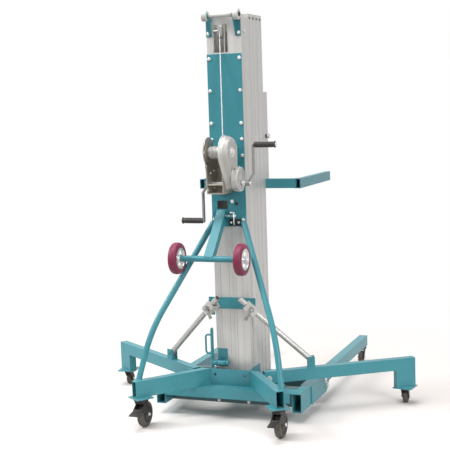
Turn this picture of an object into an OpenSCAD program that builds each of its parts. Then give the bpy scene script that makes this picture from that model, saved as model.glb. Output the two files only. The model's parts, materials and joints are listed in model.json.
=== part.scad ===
// Material hoist: a hand-winched telescopic mast on a folding wheeled base.
// Millimetres. +X is the operator's right, +Y points forward along the forks, +Z is up.
// The origin is on the floor, in the middle of the base's outline.

/* [Mast] */
// Width of every mast section
mast_w = 181; // [170:1:200]
// Top of the fixed section above the floor
mast_top = 1980; // [1900:10:2100]
// How far the moving sections stand above the fixed one
inner_rise = 20; // [5:1:40]
// Depth of the fixed section
outer_d = 100; // [94:1:120]
// Depth of a moving section
section_d = 49.5; // [46:0.5:56]
// Gap between neighbouring sections
section_gap = 1; // [0.6:0.1:1.6]
// Wall of the mast extrusions
mast_wall = 4; // [3:0.5:5]

/* [Carriage and forks] */
// Underside of the forks as photographed
fork_z = 1117; // [1000:1:1200]
// Height of a fork and of the cross tube
fork_h = 50; // [44:1:60]
// Width of one fork
fork_w = 27; // [24:1:36]
// Overall width over both forks
fork_span = 557; // [500:1:620]
// Length of a fork
fork_len = 566; // [450:1:700]
// Wall of the fork tubes
fork_wall = 3; // [2:0.5:4]
// Depth of the carriage in front of the mast
carriage_d = 57; // [55:1:70]
// Top of the carriage above the forks' top
carriage_h = 449; // [350:1:480]

/* [Winch] */
// Thickness of the winch panel
panel_t = 6; // [4:0.5:8]
// Lower edge of the panel
panel_bottom = 954; // [930:1:965]
// Upper edge of the panel below the mast's top
panel_drop = 176; // [172:1:220]
// Drum axis behind the mast's rear face
drum_back = 125; // [115:1:135]
// Height of the drum axis
drum_z = 1326; // [1300:1:1345]
// Radius of the bare drum
drum_r = 25; // [22:0.5:28]
// Radius of the drum flanges
flange_r = 52; // [46:1:54]
// Diameter of the hoist cable
cable_d = 6; // [5:0.5:7]
// Tooth module of the winch gears
gear_m = 3; // [2.9:0.05:3.1]
// Radius from the crank shaft to a grip
crank_r = 185; // [160:1:200]
// Length of a crank grip
grip_len = 110; // [90:1:125]
// Diameter of a crank grip
grip_d = 28; // [24:1:34]

/* [Loading wheels] */
// Diameter of a loading wheel
load_wheel_d = 156; // [140:1:158]
// Width of a loading wheel
load_wheel_w = 44; // [36:1:48]
// Distance between the loading wheels' mid planes
load_track = 336; // [310:1:340]
// Length of the strut from its pivot to the axle
strut_len = 287; // [284:1:310]
// Angle of the strut from the vertical
strut_angle = 44; // [43:0.5:48]

/* [Base] */
// Distance between the side rails' mid planes
rail_span = 722; // [690:1:760]
// Width of a side rail
rail_w = 48; // [44:1:54]
// Height of a side rail
rail_h = 95; // [88:1:100]
// Underside of the side rails above the floor
rail_z = 56; // [50:1:60]
// Thickness of the base plates
plate_t = 6; // [5:0.5:8]
// Height of a rear leg
leg_h = 82; // [74:1:88]
// Width of a rear leg
leg_w = 40; // [36:1:44]
// Wall of the base tubes
tube_wall = 3; // [2.5:0.5:4]
// Diameter of a stay tube
stay_d = 29; // [25:1:30]
// Height of a folding front leg
front_leg_h = 60; // [54:1:62]
// Front end of a folding leg ahead of the mast's rear face
front_leg_tip = 1234; // [1100:1:1300]

/* [Stabiliser arms] */
// Height of an arm
arm_h = 60; // [54:1:64]
// Width of an arm
arm_w = 40; // [36:1:42]
// Length of an arm from its pivot to its outer end
arm_len = 779; // [700:1:850]
// Plan angle of an arm from the sideways direction
arm_angle = 36.3; // [32:0.1:38]
// Diameter of a bracing tube
brace_d = 28; // [24:1:28]
// Width of the foot block under an arm's end, along the arm
foot_len = 100; // [90:1:110]

/* [Casters] */
// Diameter of a rear caster's wheel
rear_wheel_d = 125; // [115:1:126]
// Width of a rear caster's wheel
rear_wheel_w = 32; // [28:1:36]
// Diameter of an arm caster's wheel
arm_wheel_d = 65; // [56:1:65]
// Diameter of a front leg caster's wheel
leg_wheel_d = 75; // [64:1:75]
// Width of a small caster's wheel
small_wheel_w = 24; // [20:1:28]

/* [Hidden] */

$fn = 48;
left = -1;
right = 1;

teal = [0.28, 0.56, 0.60];
alloy = [0.78, 0.78, 0.77];
zinc = [0.66, 0.66, 0.64];
steel = [0.72, 0.73, 0.74];
black = [0.13, 0.13, 0.14];
maroon = [0.52, 0.16, 0.27];
white = [0.90, 0.90, 0.88];

// How far a cut runs past the face that it opens
overrun = 2;
// Gap between a moving piece and what it rests on
rest_gap = 0.3;
// Radial clearance of a pin in its hole
run_gap = 0.05;
// Gap beside a moving piece that is guided
side_gap = 0.5;

// Base levels and the origin's place
rail_top = rail_z + rail_h;
deck = rail_top + plate_t;
rail_x = rail_span / 2;
leg_top = deck + leg_h;

// Rear leg: plan angle, inner cut plane and outer end
leg_angle = 54;
leg_end_x = 372;
leg_end_y = -397;
leg_root_y = -65;
leg_slab_len = (leg_root_y - leg_end_y) / sin(leg_angle) + leg_w;

// Rear caster: swivel axis, trail and brake pedal
rear_swivel_inset = 36;
rear_swivel_x = leg_end_x - rear_swivel_inset * cos(leg_angle);
rear_swivel_y = leg_end_y + rear_swivel_inset * sin(leg_angle);
rear_trail = 36;
pedal_pivot_y = -44;
pedal_len = 56;
pedal_w = 44;
pedal_t = 5;
pedal_z = 98;
pedal_angle = 12;
pedal_hub_r = 7;

pedal_end_y = pedal_pivot_y - pedal_len * cos(pedal_angle) - pedal_t / 2 * sin(pedal_angle);
centre_y = (front_leg_tip + rear_swivel_y + pedal_end_y) / 2;

// Guide tongues between the sections
lip_t = 5;
head_w = 34;
head_t = 6;
neck_w = 18;
guide_gap = 0.4;
guide_share = 0.25;
cavity_d = head_t + 2 * guide_gap;
neck_len = section_gap + lip_t + guide_gap;
front_block = lip_t + cavity_d + mast_wall;
section_pitch = section_d + section_gap;
mast_depth = outer_d + 4 * section_pitch;
inner_top = mast_top + inner_rise;

// Shallow grooves of the extrusions
groove_w = 3;
groove_d = 2;
rear_groove_shares = [-0.32, -0.066, 0.133];
side_recess_w = 40;
side_recess_d = 2.5;
side_recess_y = 6;
head_screw_r = 5;
head_screw_h = 3;
head_screw_drop = 20;

panel_top = mast_top - panel_drop;

// Carriage and its knob
carriage_y = mast_depth + section_gap;
fork_top = fork_z + fork_h;
fork_inner = fork_span / 2 - fork_w;
// Step by which the cross tube's faces stand in from those of the forks
tube_step = 1;
knob_z = 1388;
knob_r = 9;
knob_stem_r = 5;
knob_reach = 16;
carriage_knob_r = 12;
carriage_knob_reach = 20;
latch_x = 24;
latch_z = 1080;

// Window and sheave in the mast's head
sheave_x = -24;
sheave_share = 0.36;
sheave_y = sheave_share * outer_d;
sheave_drop = 65;
sheave_z = mast_top - sheave_drop;
sheave_r = 36;
sheave_w = 20;
sheave_groove_r = 30;
sheave_flare = 3;
sheave_pin_r = 8;
sheave_head_r = 9;
window_left = -54;
window_right = 19;
window_drop = 34;
window_h = 135;
window_top = mast_top - window_drop;
window_bottom = window_top - window_h;

// Head roller
roller_back = 34;
roller_rise = 9;
roller_z = mast_top + roller_rise;
roller_r = 12;
roller_wheel_r = 27;
roller_wheel_w = 27;
roller_axle_r = 5;
ear_x = 65;
ear_t = 6;
ear_drop = 8;
ear_h = 84;
ear_top = mast_top - ear_drop;
ear_bottom = ear_top - ear_h;
ear_nose_r = 13;

// Winch frame and gears
drum_teeth = 44;
idler_teeth = 24;
pinion_teeth = 12;
crank_back = 85;
idler_reach = gear_m * (drum_teeth + idler_teeth) / 2;
gear_reach = gear_m * (drum_teeth + pinion_teeth) / 2 + gear_m * idler_teeth;
gear_tilt = asin((drum_back - crank_back) / gear_reach);
crank_z = drum_z - gear_reach * cos(gear_tilt);
idler_back = drum_back - idler_reach * sin(gear_tilt);
idler_z = drum_z - idler_reach * cos(gear_tilt);
winch_plate_t = 5;
winch_left = -58;
winch_right = 29;
winch_head_r = 70;
winch_head_back = 112;
winch_head_rise = 6;
winch_bottom_drop = 50;
winch_bottom_back = 144;
winch_waist_back = 152;
winch_waist_drop = 82;
winch_back_drop = 30;
winch_shoulder_share = 0.9;
winch_shoulder_angles = [20, 203];
tie_rod_r = 5;
tie_rod_back = 138;
tie_rod_drop = 4;
drum_shaft_r = 10;
crank_shaft_r = 8;
idler_shaft_r = 7;
flange_t = 3;
flange_gap = 2;
gear_start = 33;
gear_w = 14;
addendum_share = 0.8;
dedendum_share = 1.25;
tooth_share = 0.40;
flank_angle = 20;
cover_r = 80;
cover_foot_r = 32;
pear_steps = 30;
cover_wall = 4;
cover_right = 70;
cover_bevel = 8;
cover_bevel_len = 18;
hub_cap_r = 22;
hub_cap_h = 6;
brake_r = 58;
brake_rise = 19;
brake_right = 99;
brake_wall = 4;
brake_lip = 6;
brake_dish = 3;
brake_cavity_r = 34;
brake_disc_r = 31;
brake_disc_x = 78;
brake_disc_t = 7;

// Cranks: where each hub starts, its length, and the arm's offset from the hub
crank_hub_right = 123;
crank_hub_left = -61;
crank_hub_len = 22;
crank_hub_r = 13;
crank_arm_t = 8;
crank_arm_w = 20;
crank_offset = 31;
crank_bend_rise = 46;
spindle_r = 6;
grip_gap = 2;
grip_flange_r = 16;
grip_flange_t = 6;

// Wound cable
cable_r = cable_d / 2;
wind_r = drum_r + cable_r + rest_gap;
wind_space = 0.9;
wind_pitch = cable_d + wind_space;
wind_steps = 24;
wind_sides = 6;
drum_left = winch_left + winch_plate_t + flange_gap;
drum_right = winch_right - winch_plate_t - flange_gap;
wind_edge_share = 0.75;
wind_edge = wind_edge_share * cable_d;
cable_turns = floor((drum_right - drum_left - 2 * flange_t - 2 * wind_edge) / wind_pitch);
wind_end_x = drum_right - flange_t - wind_edge;
wind_start_x = wind_end_x - wind_pitch * cable_turns;

// Cable run: the inner tangent from the drum's front to the sheave's back
run_dy = sheave_y + drum_back;
run_dz = sheave_z - drum_z;
run_angle = atan2(run_dz, run_dy) + asin((wind_r + sheave_groove_r) / norm([run_dy, run_dz]));
run_low = [wind_end_x, -drum_back + wind_r * sin(run_angle), drum_z - wind_r * cos(run_angle)];
run_high = [sheave_x, sheave_y - sheave_groove_r * sin(run_angle), sheave_z + sheave_groove_r * cos(run_angle)];
run_vector = run_high - run_low;
run_dir = run_vector / norm(run_vector);
cable_tail = 160;
sheave_steps = 24;
run_sides = 12;

// Strut: pivot inside the mast and the opening that it leaves by
strut_x = -34;
strut_w = 46;
strut_d = 36;
strut_pivot_y = -8;
strut_pivot_z = 1024;
strut_pin_r = 6;
strut_knuckle_r = 17;
lug_t = 4;
lug_r = 15;
strut_open_top = 1082;
strut_stop_y = strut_pivot_y + strut_d / 2 * cos(strut_angle) + panel_t;
strut_open_bottom = strut_pivot_z - strut_d / 2 * sin(strut_angle) - strut_stop_y / tan(strut_angle) - rest_gap;
axle_tube_r = 15;
axle_r = 8;
axle_nut_r = 14;
axle_nut_h = 9;
load_hub_r = 50;
load_hub_dish = 5;
load_tread_round = 10;
load_side_gap = 4;

strut_left = strut_x - strut_w / 2 - side_gap - lug_t;
strut_right = strut_x + strut_w / 2 + side_gap + lug_t;
axle_y = strut_pivot_y - strut_len * sin(strut_angle);
axle_z = strut_pivot_z - strut_len * cos(strut_angle);
wheel_inner = load_track / 2 - load_wheel_w / 2;

// Pull pin of the strut
lock_pin_r = 5;
lock_pin_z = 1009;
lock_pin_back = 33;
lock_pin_tip_gap = 1;
lock_pin_len = 52;
lock_ring_r = 9;
lock_ear_t = 5;
lock_ear_x = [1, 20];
lock_hole_r = 5.4;

// Base plates
channel_rear = -130;
channel_front = -45;
lip_bottom = 105;
lip_half = 330;
deck_half = 262;
deck_front = 22;
mast_deck_half = 112;
cross_tube_d = 40;
rear_tube_y = -20;
front_tube_y = 285;
upright_half = 158;
upright_t = 6;
upright_hole_x = 80;
upright_hole_r = 7;
upright_hole_drop = 29;
cheek_front = 120;
cheek_t = 6;

// Rails and front legs
cheek_rear_y = 50;
cheek_front_y = 355;
rail_front_y = 200;
hinge_y = 282;
hinge_z = 122;
hinge_r = 8;
stop_pin_y = 318;
stop_pin_r = 8;
leg_rear_y = 252;
leg_z = 96;
leg_swivel_inset = 39;
leg_swivel_y = front_leg_tip - leg_swivel_inset;
stop_pin_z = leg_z - rest_gap - stop_pin_r;
rail_rear_y = -116;
chamfer_y = 46;
chamfer_low = 30;
chamfer_high = 42;
hinge_head_r = 13;
hinge_head_h = 7;

// Arms, braces and clamps: places on the right-hand side
arm_pivot = [200, -48];
arm_top = 240;
arm_z = arm_top - arm_h / 2;
arm_pin_r = 8;
arm_boss_r = 24;
arm_boss_half = 29;
arm_back = 26;
bracket_t = 6;
bracket_half = 28;
bracket_rise = 24;
lug_reach = 222;
lug_z = 276;
lug_point = [arm_pivot[0] + lug_reach * cos(arm_angle), arm_pivot[1] + lug_reach * sin(arm_angle), lug_z];
clamp_point = [120, -26, 536];
brace_over = 92;
lug_plate_t = 5;
lug_pin_r = 6;
lug_half = 18;
lug_eye_r = 15;
brace_axis = clamp_point - lug_point;
brace_angle = atan2(-brace_axis[1], -brace_axis[0]);
brace_flat = norm([brace_axis[0], brace_axis[1]]);
brace_pitch = atan2(brace_axis[2], brace_flat);
brace_wall = 2.5;
clamp_span = [-48, 20];
clamp_side_gap = 0.4;
clamp_seat_gap = 4.5;
clamp_wall = 7;
clamp_floor = 6;
clamp_top = 21;
clamp_reach = 34;
clamp_stud_r = 5;
clamp_stud_x = -14;
brace_plate_half = 124;
brace_plate_t = 8;
brace_plate_bottom = 537;
brace_plate_h = 57;
brace_ear_w = 30;
brace_ear_drop = 34;
lever_hub_r = 12;
lever_hub_h = 14;
lever_len = 52;
lever_r = 6;
lever_tilt = 10;
lever_knob_r = 8;
foot_block_bottom = 90;
foot_plate = 98;
foot_turn = 45;

// Casters
caster_plate = 92;
kingpin_r = 8;
kingpin_nut_r = 13;
kingpin_nut_h = 8;
wheel_clear = 3;
crown_share = 0.45;
crown_back_share = 0.75;
caster_gap = 2;
caster_leg_t = 4;
caster_axle_r = 5;
caster_axle_boss = 9;
tread_round_share = 0.25;
hub_share = 0.35;
rim_share = 0.68;
hub_dish = 4;
rear_head_r = 36;
small_head_r = 26;
arm_trail = 18;
leg_trail = 22;
pedal_pin_r = 3.5;

// Stays: top, bend and foot of the right-hand one
stay_top = [84, -8, 984];
stay_bend = [288, -242, 545];
stay_cut_z = 970;
stay_tab = [64, 90.5];
stay_tab_t = 6;
stay_tab_z = [948, 1004];
stay_foot = [366, -353, leg_top];

// Hold-down lever at the mast's foot
hold_y = -30;
hold_z = 262;
hold_tube_r = 14;
hold_tube_left = -101;
hold_tube_right = -18;
hold_bar_t = 8;
hold_bar_w = 26;
hold_bar_top = 455;
hold_shaft_r = 10;
hold_ear_x = [-84, -40];
hold_ear_t = 6;
hold_ear_r = 17;
hold_plate_z = [242, 330];
hold_loop_low = 312;
hold_loop_high = 402;
hold_loop_r = 5;
hold_loop_reach = 30;
hold_plate_t = 5;

// Bolts
bolt_r = 8;
bolt_h = 5;
bolt_dome = 2.5;
panel_bolt_inset = 11.5;
panel_bolt_shares = [0.974, 0.789, 0.601, 0.508, 0.413];
panel_low_bolt = 988;

module framed() {
    translate([0, -centre_y, 0])
        children();
}

module on_side(side) {
    if (side < 0)
        mirror([1, 0, 0])
            children();
    else
        children();
}

// Extrudes an outline drawn in Y and Z from one X to another
module across(from_x, to_x) {
    translate([from_x, 0, 0])
        rotate([90, 0, 90])
            linear_extrude(to_x - from_x)
                children();
}

module rod_x(radius, from_x, to_x) {
    translate([from_x, 0, 0])
        rotate([0, 90, 0])
            cylinder(r = radius, h = to_x - from_x);
}

module rod_between(radius, from, to) {
    line = to - from;
    translate(from)
        rotate([0, acos(line[2] / norm(line)), atan2(line[1], line[0])])
            cylinder(r = radius, h = norm(line));
}

module box(low, high) {
    translate(low)
        cube(high - low);
}

module bar_2d(from, to, width) {
    line = to - from;
    translate(from)
        rotate(atan2(line[1], line[0]))
            translate([0, -width / 2])
                square([norm(line), width]);
    translate(to)
        circle(d = width);
}

// A round-headed bolt that stands on a rear face, at the origin, pointing to -Y
module bolt_back() {
    rotate([90, 0, 0]) {
        cylinder(r = bolt_r, h = bolt_h);
        cylinder(r = bolt_r - bolt_dome, h = bolt_h + bolt_dome);
    }
}

// Two circles joined by their outer tangents
module pear(top_r, foot_r, spread) {
    tilt = asin((top_r - foot_r) / spread);
    top_step = (180 + 2 * tilt) / pear_steps;
    foot_step = (180 - 2 * tilt) / pear_steps;
    polygon([
        for (i = [0 : pear_steps])
            top_r * [cos(top_step * i - tilt), sin(top_step * i - tilt)],
        for (i = [0 : pear_steps])
            foot_r * [-cos(foot_step * i + tilt), -sin(foot_step * i + tilt)] - [0, spread]]);
}

// Mast sections

module guide_slots(depth) {
    for (side = [left, right])
        translate([side * mast_w * guide_share, depth]) {
            translate([-neck_w / 2 - guide_gap, -lip_t - overrun])
                square([neck_w + 2 * guide_gap, lip_t + 2 * overrun]);
            translate([-head_w / 2 - guide_gap, -lip_t - cavity_d])
                square([head_w + 2 * guide_gap, cavity_d]);
        }
}

module guide_tongues() {
    for (side = [left, right])
        translate([side * mast_w * guide_share, 0]) {
            translate([-neck_w / 2, -neck_len - overrun])
                square([neck_w, neck_len + 2 * overrun]);
            translate([-head_w / 2, -neck_len - head_t])
                square([head_w, head_t]);
        }
}

module hollow_cells(depth, front_wall) {
    cell_w = mast_w / 2 - 1.5 * mast_wall;
    for (side = [left, right])
        translate([side * (cell_w + mast_wall) / 2 - cell_w / 2, mast_wall])
            square([cell_w, depth - mast_wall - front_wall]);
}

module side_grooves(depth) {
    for (side = [left, right])
        translate([side * mast_w / 2 - groove_d, depth / 2 - groove_w / 2])
            square([2 * groove_d, groove_w]);
}

module section_outline() {
    difference() {
        union() {
            translate([-mast_w / 2, 0])
                square([mast_w, section_d]);
            guide_tongues();
        }
        hollow_cells(section_d, front_block);
        guide_slots(section_d);
        side_grooves(section_d);
    }
}

module outer_outline() {
    difference() {
        translate([-mast_w / 2, 0])
            square([mast_w, outer_d]);
        hollow_cells(outer_d, front_block);
        guide_slots(outer_d);
        for (share = rear_groove_shares)
            translate([share * mast_w - groove_w / 2, -groove_d])
                square([groove_w, 2 * groove_d]);
        for (side = [left, right])
            translate([side * mast_w / 2 - side_recess_d, side_recess_y])
                square([2 * side_recess_d, side_recess_w]);
    }
}

module mast_outer() {
    color(alloy)
        framed()
            difference() {
                translate([0, 0, deck])
                    linear_extrude(mast_top - deck)
                        outer_outline();
                box([window_left, -overrun, window_bottom], [window_right, mast_wall + overrun, window_top]);
                box([strut_x - strut_w / 2 - 2 * lug_t, -overrun, strut_open_bottom - lug_t],
                    [strut_x + strut_w / 2 + 2 * lug_t, mast_wall + overrun, strut_open_top + lug_t]);
                translate([0, sheave_y, sheave_z])
                    rod_x(sheave_pin_r, -mast_w, mast_w);
            }
}

module moving_section(index) {
    color(alloy)
        framed()
            translate([0, outer_d + section_gap + index * section_pitch, 0]) {
                translate([0, 0, deck + rest_gap])
                    linear_extrude(inner_top - deck - rest_gap)
                        section_outline();
                for (side = [left, right])
                    on_side(side)
                        translate([0, section_d / 2, inner_top - head_screw_drop])
                            rod_x(head_screw_r, mast_w / 2 - groove_d - mast_wall / 2, mast_w / 2 + head_screw_h);
            }
}

module mast_2() { moving_section(0); }
module mast_3() { moving_section(1); }
module mast_4() { moving_section(2); }
module mast_5() { moving_section(3); }

// Carriage

module square_tube(low, high, wall, along) {
    inset = [for (axis = [0, 1, 2]) axis == along ? -overrun : wall];
    difference() {
        box(low, high);
        box(low + inset, high - inset);
    }
}

module carriage() {
    color(alloy)
        framed() {
            translate([0, carriage_y, fork_top - tube_step])
                linear_extrude(carriage_h)
                    difference() {
                        union() {
                            translate([-mast_w / 2, 0])
                                square([mast_w, carriage_d]);
                            guide_tongues();
                        }
                        hollow_cells(carriage_d, mast_wall);
                        side_grooves(carriage_d);
                    }
        }
}

module forks() {
    tube_end = fork_inner + fork_wall / 2;
    tube_y = carriage_y + section_gap;
    color(teal)
        framed() {
            square_tube([-tube_end, tube_y, fork_z + tube_step],
                [tube_end, tube_y + fork_h, fork_top - tube_step], fork_wall, 0);
            for (side = [left, right])
                on_side(side)
                    square_tube([fork_inner, carriage_y, fork_z],
                        [fork_inner + fork_w, carriage_y + fork_len, fork_top], fork_wall, 1);
        }
}

module carriage_knob() {
    color(steel)
        framed()
            translate([0, carriage_y + carriage_d / 2 - groove_w, knob_z]) {
                rod_x(knob_stem_r, mast_w / 2, mast_w / 2 + carriage_knob_reach);
                rod_x(carriage_knob_r, mast_w / 2 + carriage_knob_reach / 2, mast_w / 2 + carriage_knob_reach);
            }
}

// Mast head

module cable_sheave() {
    groove = cable_r + rest_gap;
    color(white)
        framed()
            translate([sheave_x, sheave_y, sheave_z])
                rotate([0, 90, 0])
                    rotate_extrude()
                        difference() {
                            translate([sheave_pin_r + run_gap, -sheave_w / 2])
                                square([sheave_r - sheave_pin_r - run_gap, sheave_w]);
                            translate([sheave_groove_r, 0])
                                circle(r = groove);
                            polygon([[sheave_groove_r, -groove], [sheave_r + overrun, -groove - sheave_flare],
                                [sheave_r + overrun, groove + sheave_flare], [sheave_groove_r, groove]]);
                        }
}

module roller_ears() {
    color(teal)
        framed()
            for (side = [left, right])
                on_side(side)
                    difference() {
                        union() {
                            box([ear_x - ear_t / 2, -ear_t, ear_bottom], [mast_w / 2, 0, ear_top]);
                            across(ear_x - ear_t / 2, ear_x + ear_t / 2) {
                                polygon([[0, ear_bottom], [0, ear_top], [-roller_back + ear_nose_r, roller_z],
                                    [-roller_back - ear_nose_r, roller_z], [-ear_t, ear_bottom]]);
                                translate([-roller_back, roller_z])
                                    circle(r = ear_nose_r);
                            }
                        }
                        translate([0, -roller_back, roller_z])
                            rod_x(roller_axle_r + run_gap, 0, mast_w);
                    }
}

module top_roller() {
    inner = ear_x - ear_t / 2 - side_gap;
    outer = ear_x + ear_t / 2 + side_gap;
    color(white)
        framed()
            translate([0, -roller_back, roller_z]) {
                rod_x(roller_axle_r, -outer - roller_wheel_w, outer + roller_wheel_w);
                rod_x(roller_r, -inner, inner);
                for (side = [left, right])
                    on_side(side)
                        rod_x(roller_wheel_r, outer, outer + roller_wheel_w);
            }
}

// Hoist cable: the run, the turn over the sheave and the tail inside the mast
module hoist_cable() {
    turn = [for (step = [0 : sheave_steps])
        let (angle = (run_angle + 90) * (1 - step / sheave_steps))
        [sheave_x, sheave_y + sheave_groove_r * cos(angle), sheave_z + sheave_groove_r * sin(angle)]];
    tail = [sheave_x, sheave_y + sheave_groove_r, sheave_z - cable_tail];
    color(steel)
        framed()
            cable_tube(concat([run_low + (cable_d + rest_gap) * run_dir], turn, [tail]), run_sides);
}

// Winch

module winch_cheek() {
    head_z = drum_z + winch_head_rise;
    low = crank_z - winch_bottom_drop;
    shoulders = [for (angle = winch_shoulder_angles)
        [-winch_head_back, head_z] + winch_shoulder_share * winch_head_r * [cos(angle), sin(angle)]];
    translate([-winch_head_back, head_z])
        circle(r = winch_head_r);
    polygon([shoulders[0], shoulders[1], [-winch_waist_back, drum_z - winch_waist_drop], [-winch_bottom_back, low],
        [-panel_t, low], [-panel_t, drum_z - winch_back_drop]]);
}

module shaft_holes() {
    for (hole = [[drum_back, drum_z, drum_shaft_r], [crank_back, crank_z, crank_shaft_r],
        [idler_back, idler_z, idler_shaft_r]])
        translate([0, -hole[0], hole[1]])
            rod_x(hole[2] + run_gap, -mast_w, mast_w);
}

module winch_frame() {
    low = crank_z - winch_bottom_drop;
    color(zinc)
        framed()
            difference() {
                union() {
                    across(winch_left, winch_left + winch_plate_t)
                        winch_cheek();
                    across(winch_right - winch_plate_t, winch_right)
                        winch_cheek();
                    box([winch_left, -panel_t - winch_plate_t, low], [winch_right, -panel_t, drum_z - winch_back_drop]);
                    box([winch_left, -winch_bottom_back, low], [winch_right, -panel_t, low + winch_plate_t]);
                    translate([0, -tie_rod_back, crank_z - tie_rod_drop])
                        rod_x(tie_rod_r, winch_left + overrun, winch_right - overrun);
                }
                shaft_holes();
            }
}

// Outline of the gear cover's shell, along the line of the gears
module cover_shell(from_x, to_x, inset) {
    translate([0, -drum_back, drum_z])
        across(from_x, to_x)
            rotate(gear_tilt)
                pear(cover_r - inset, cover_foot_r - inset, gear_reach);
}

module gear_cover() {
    bevel_x = cover_right - cover_bevel_len;
    color(alloy)
        framed()
            difference() {
                union() {
                    hull() {
                        cover_shell(winch_right, bevel_x, 0);
                        cover_shell(cover_right - overrun, cover_right, cover_bevel);
                    }
                    translate([0, -drum_back, drum_z])
                        rod_x(hub_cap_r, cover_right - overrun, cover_right + hub_cap_h);
                }
                cover_shell(winch_right - overrun, gear_start + gear_w + overrun, cover_wall);
                cover_shell(gear_start, cover_right - cover_wall, cover_wall + cover_bevel);
                shaft_holes();
            }
}

module brake_housing() {
    color(zinc)
        framed()
            translate([0, -crank_back, crank_z])
                difference() {
                    translate([0, 0, brake_rise])
                        rod_x(brake_r, cover_right, brake_right);
                    translate([0, 0, brake_rise])
                        rod_x(brake_r - brake_lip, brake_right - brake_dish, brake_right + overrun);
                    rod_x(brake_cavity_r, cover_right - overrun, brake_right - brake_dish - brake_wall);
                    rod_x(crank_shaft_r + run_gap, cover_right, brake_right + overrun);
                }
}

function tooth_half(teeth, radius) =
    (tooth_share * PI * gear_m - 2 * (radius - gear_m * teeth / 2) * tan(flank_angle)) / 2 / radius * 180 / PI;

module gear_outline(teeth) {
    root = gear_m * (teeth / 2 - dedendum_share);
    tip = gear_m * (teeth / 2 + addendum_share);
    polygon([for (index = [0 : teeth - 1], corner = [[-1, root], [-1, tip], [1, tip], [1, root]])
        let (angle = 360 / teeth * index + corner[0] * tooth_half(teeth, corner[1]))
        corner[1] * [cos(angle), sin(angle)]]);
}

// A gear at a distance from the drum along the line of the gears
module gear_at(teeth, reach, turn) {
    translate([0, -drum_back, drum_z])
        across(gear_start, gear_start + gear_w)
            rotate(gear_tilt - 90)
                translate([reach, 0])
                    rotate(turn)
                        gear_outline(teeth);
}

module cable_drum() {
    color(zinc)
        framed()
            translate([0, -drum_back, drum_z]) {
                rod_x(drum_r, drum_left, drum_right);
                rod_x(flange_r, drum_left, drum_left + flange_t);
                rod_x(flange_r, drum_right - flange_t, drum_right);
                rod_x(drum_shaft_r, winch_left - flange_t, cover_right + hub_cap_h + flange_t);
            }
}

module drum_gear() {
    color(steel)
        framed()
            difference() {
                gear_at(drum_teeth, 0, 0);
                translate([0, -drum_back, drum_z])
                    rod_x(drum_shaft_r, 0, cover_right);
            }
}

module idler_gear() {
    color(steel)
        framed() {
            gear_at(idler_teeth, idler_reach, 180 / idler_teeth);
            translate([0, -idler_back, idler_z])
                rod_x(idler_shaft_r, winch_right - winch_plate_t, cover_right - overrun);
        }
}

module crank_shaft() {
    color(steel)
        framed() {
            gear_at(pinion_teeth, gear_reach, 0);
            translate([0, -crank_back, crank_z]) {
                rod_x(crank_shaft_r, crank_hub_left - crank_hub_len, crank_hub_right + crank_hub_len);
                rod_x(brake_disc_r, brake_disc_x, brake_disc_x + brake_disc_t);
            }
        }
}

// One crank arm, drawn with its hub starting at X = 0 and its grip up
module crank_arm() {
    arm_x = crank_hub_len / 2 + crank_offset;
    difference() {
        union() {
            rod_x(crank_hub_r, 0, crank_hub_len);
            translate([0, crank_arm_w / 2, 0])
                rotate([90, 0, 0])
                    linear_extrude(crank_arm_w) {
                        bar_2d([crank_hub_len / 2, 0], [arm_x, crank_bend_rise], crank_arm_t);
                        bar_2d([arm_x, crank_bend_rise], [arm_x, crank_r], crank_arm_t);
                    }
            translate([arm_x, 0, crank_r]) {
                rod_x(crank_arm_w / 2, -crank_arm_t / 2, crank_arm_t / 2);
                rod_x(spindle_r, 0, crank_arm_t / 2 + 2 * grip_gap + grip_len);
            }
        }
        rod_x(crank_shaft_r, -overrun, crank_hub_len + overrun);
    }
}

module crank_grip() {
    start = crank_hub_len / 2 + crank_offset + crank_arm_t / 2 + grip_gap / 2;
    translate([0, 0, crank_r])
        difference() {
            union() {
                rod_x(grip_d / 2, start, start + grip_len);
                rod_x(grip_flange_r, start + grip_len - grip_flange_t, start + grip_len);
            }
            rod_x(spindle_r + run_gap, start - overrun, start + grip_len + overrun);
        }
}

module right_crank_place() {
    framed()
        translate([crank_hub_right, -crank_back, crank_z])
            children();
}

module left_crank_place() {
    framed()
        translate([crank_hub_left, -crank_back, crank_z])
            rotate([0, 180, 0])
                children();
}

module crank_arms() {
    color(steel) {
        right_crank_place()
            crank_arm();
        left_crank_place()
            crank_arm();
    }
}

module grip_right() {
    color(black)
        right_crank_place()
            crank_grip();
}

module grip_left() {
    color(black)
        left_crank_place()
            crank_grip();
}

// Wound cable: one tube round the drum, with a straight stub at each end

function wind_point(turn) =
    let (angle = run_angle - 90 - 360 * (cable_turns - turn))
    [wind_start_x + wind_pitch * turn, -drum_back + wind_r * cos(angle), drum_z + wind_r * sin(angle)];
wind_rows = [for (step = [0 : wind_steps * cable_turns]) wind_point(step / wind_steps)];
wind_last = len(wind_rows) - 1;
wind_path = concat([wind_rows[0] - cable_d * (wind_rows[1] - wind_rows[0]) / norm(wind_rows[1] - wind_rows[0])],
    wind_rows, [wind_rows[wind_last] + cable_d * run_dir]);
wind_count = len(wind_path);

function ring_point(path, i, turn) =
    let (line = path[min(i + 1, len(path) - 1)] - path[max(i - 1, 0)],
        t = line / norm(line),
        u = cross(t, [1, 0, 0]) / norm(cross(t, [1, 0, 0])))
    path[i] + cable_r * (u * cos(turn) + cross(t, u) * sin(turn));

// Least gap between the tube and its own next turn
wind_gap = min([for (i = [0 : wind_count - 1 - wind_steps / 2], j = [i + wind_steps / 2 : wind_count - 1])
    norm(wind_path[i] - wind_path[j])]) - cable_d;
echo(wind_gap = wind_gap);

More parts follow.
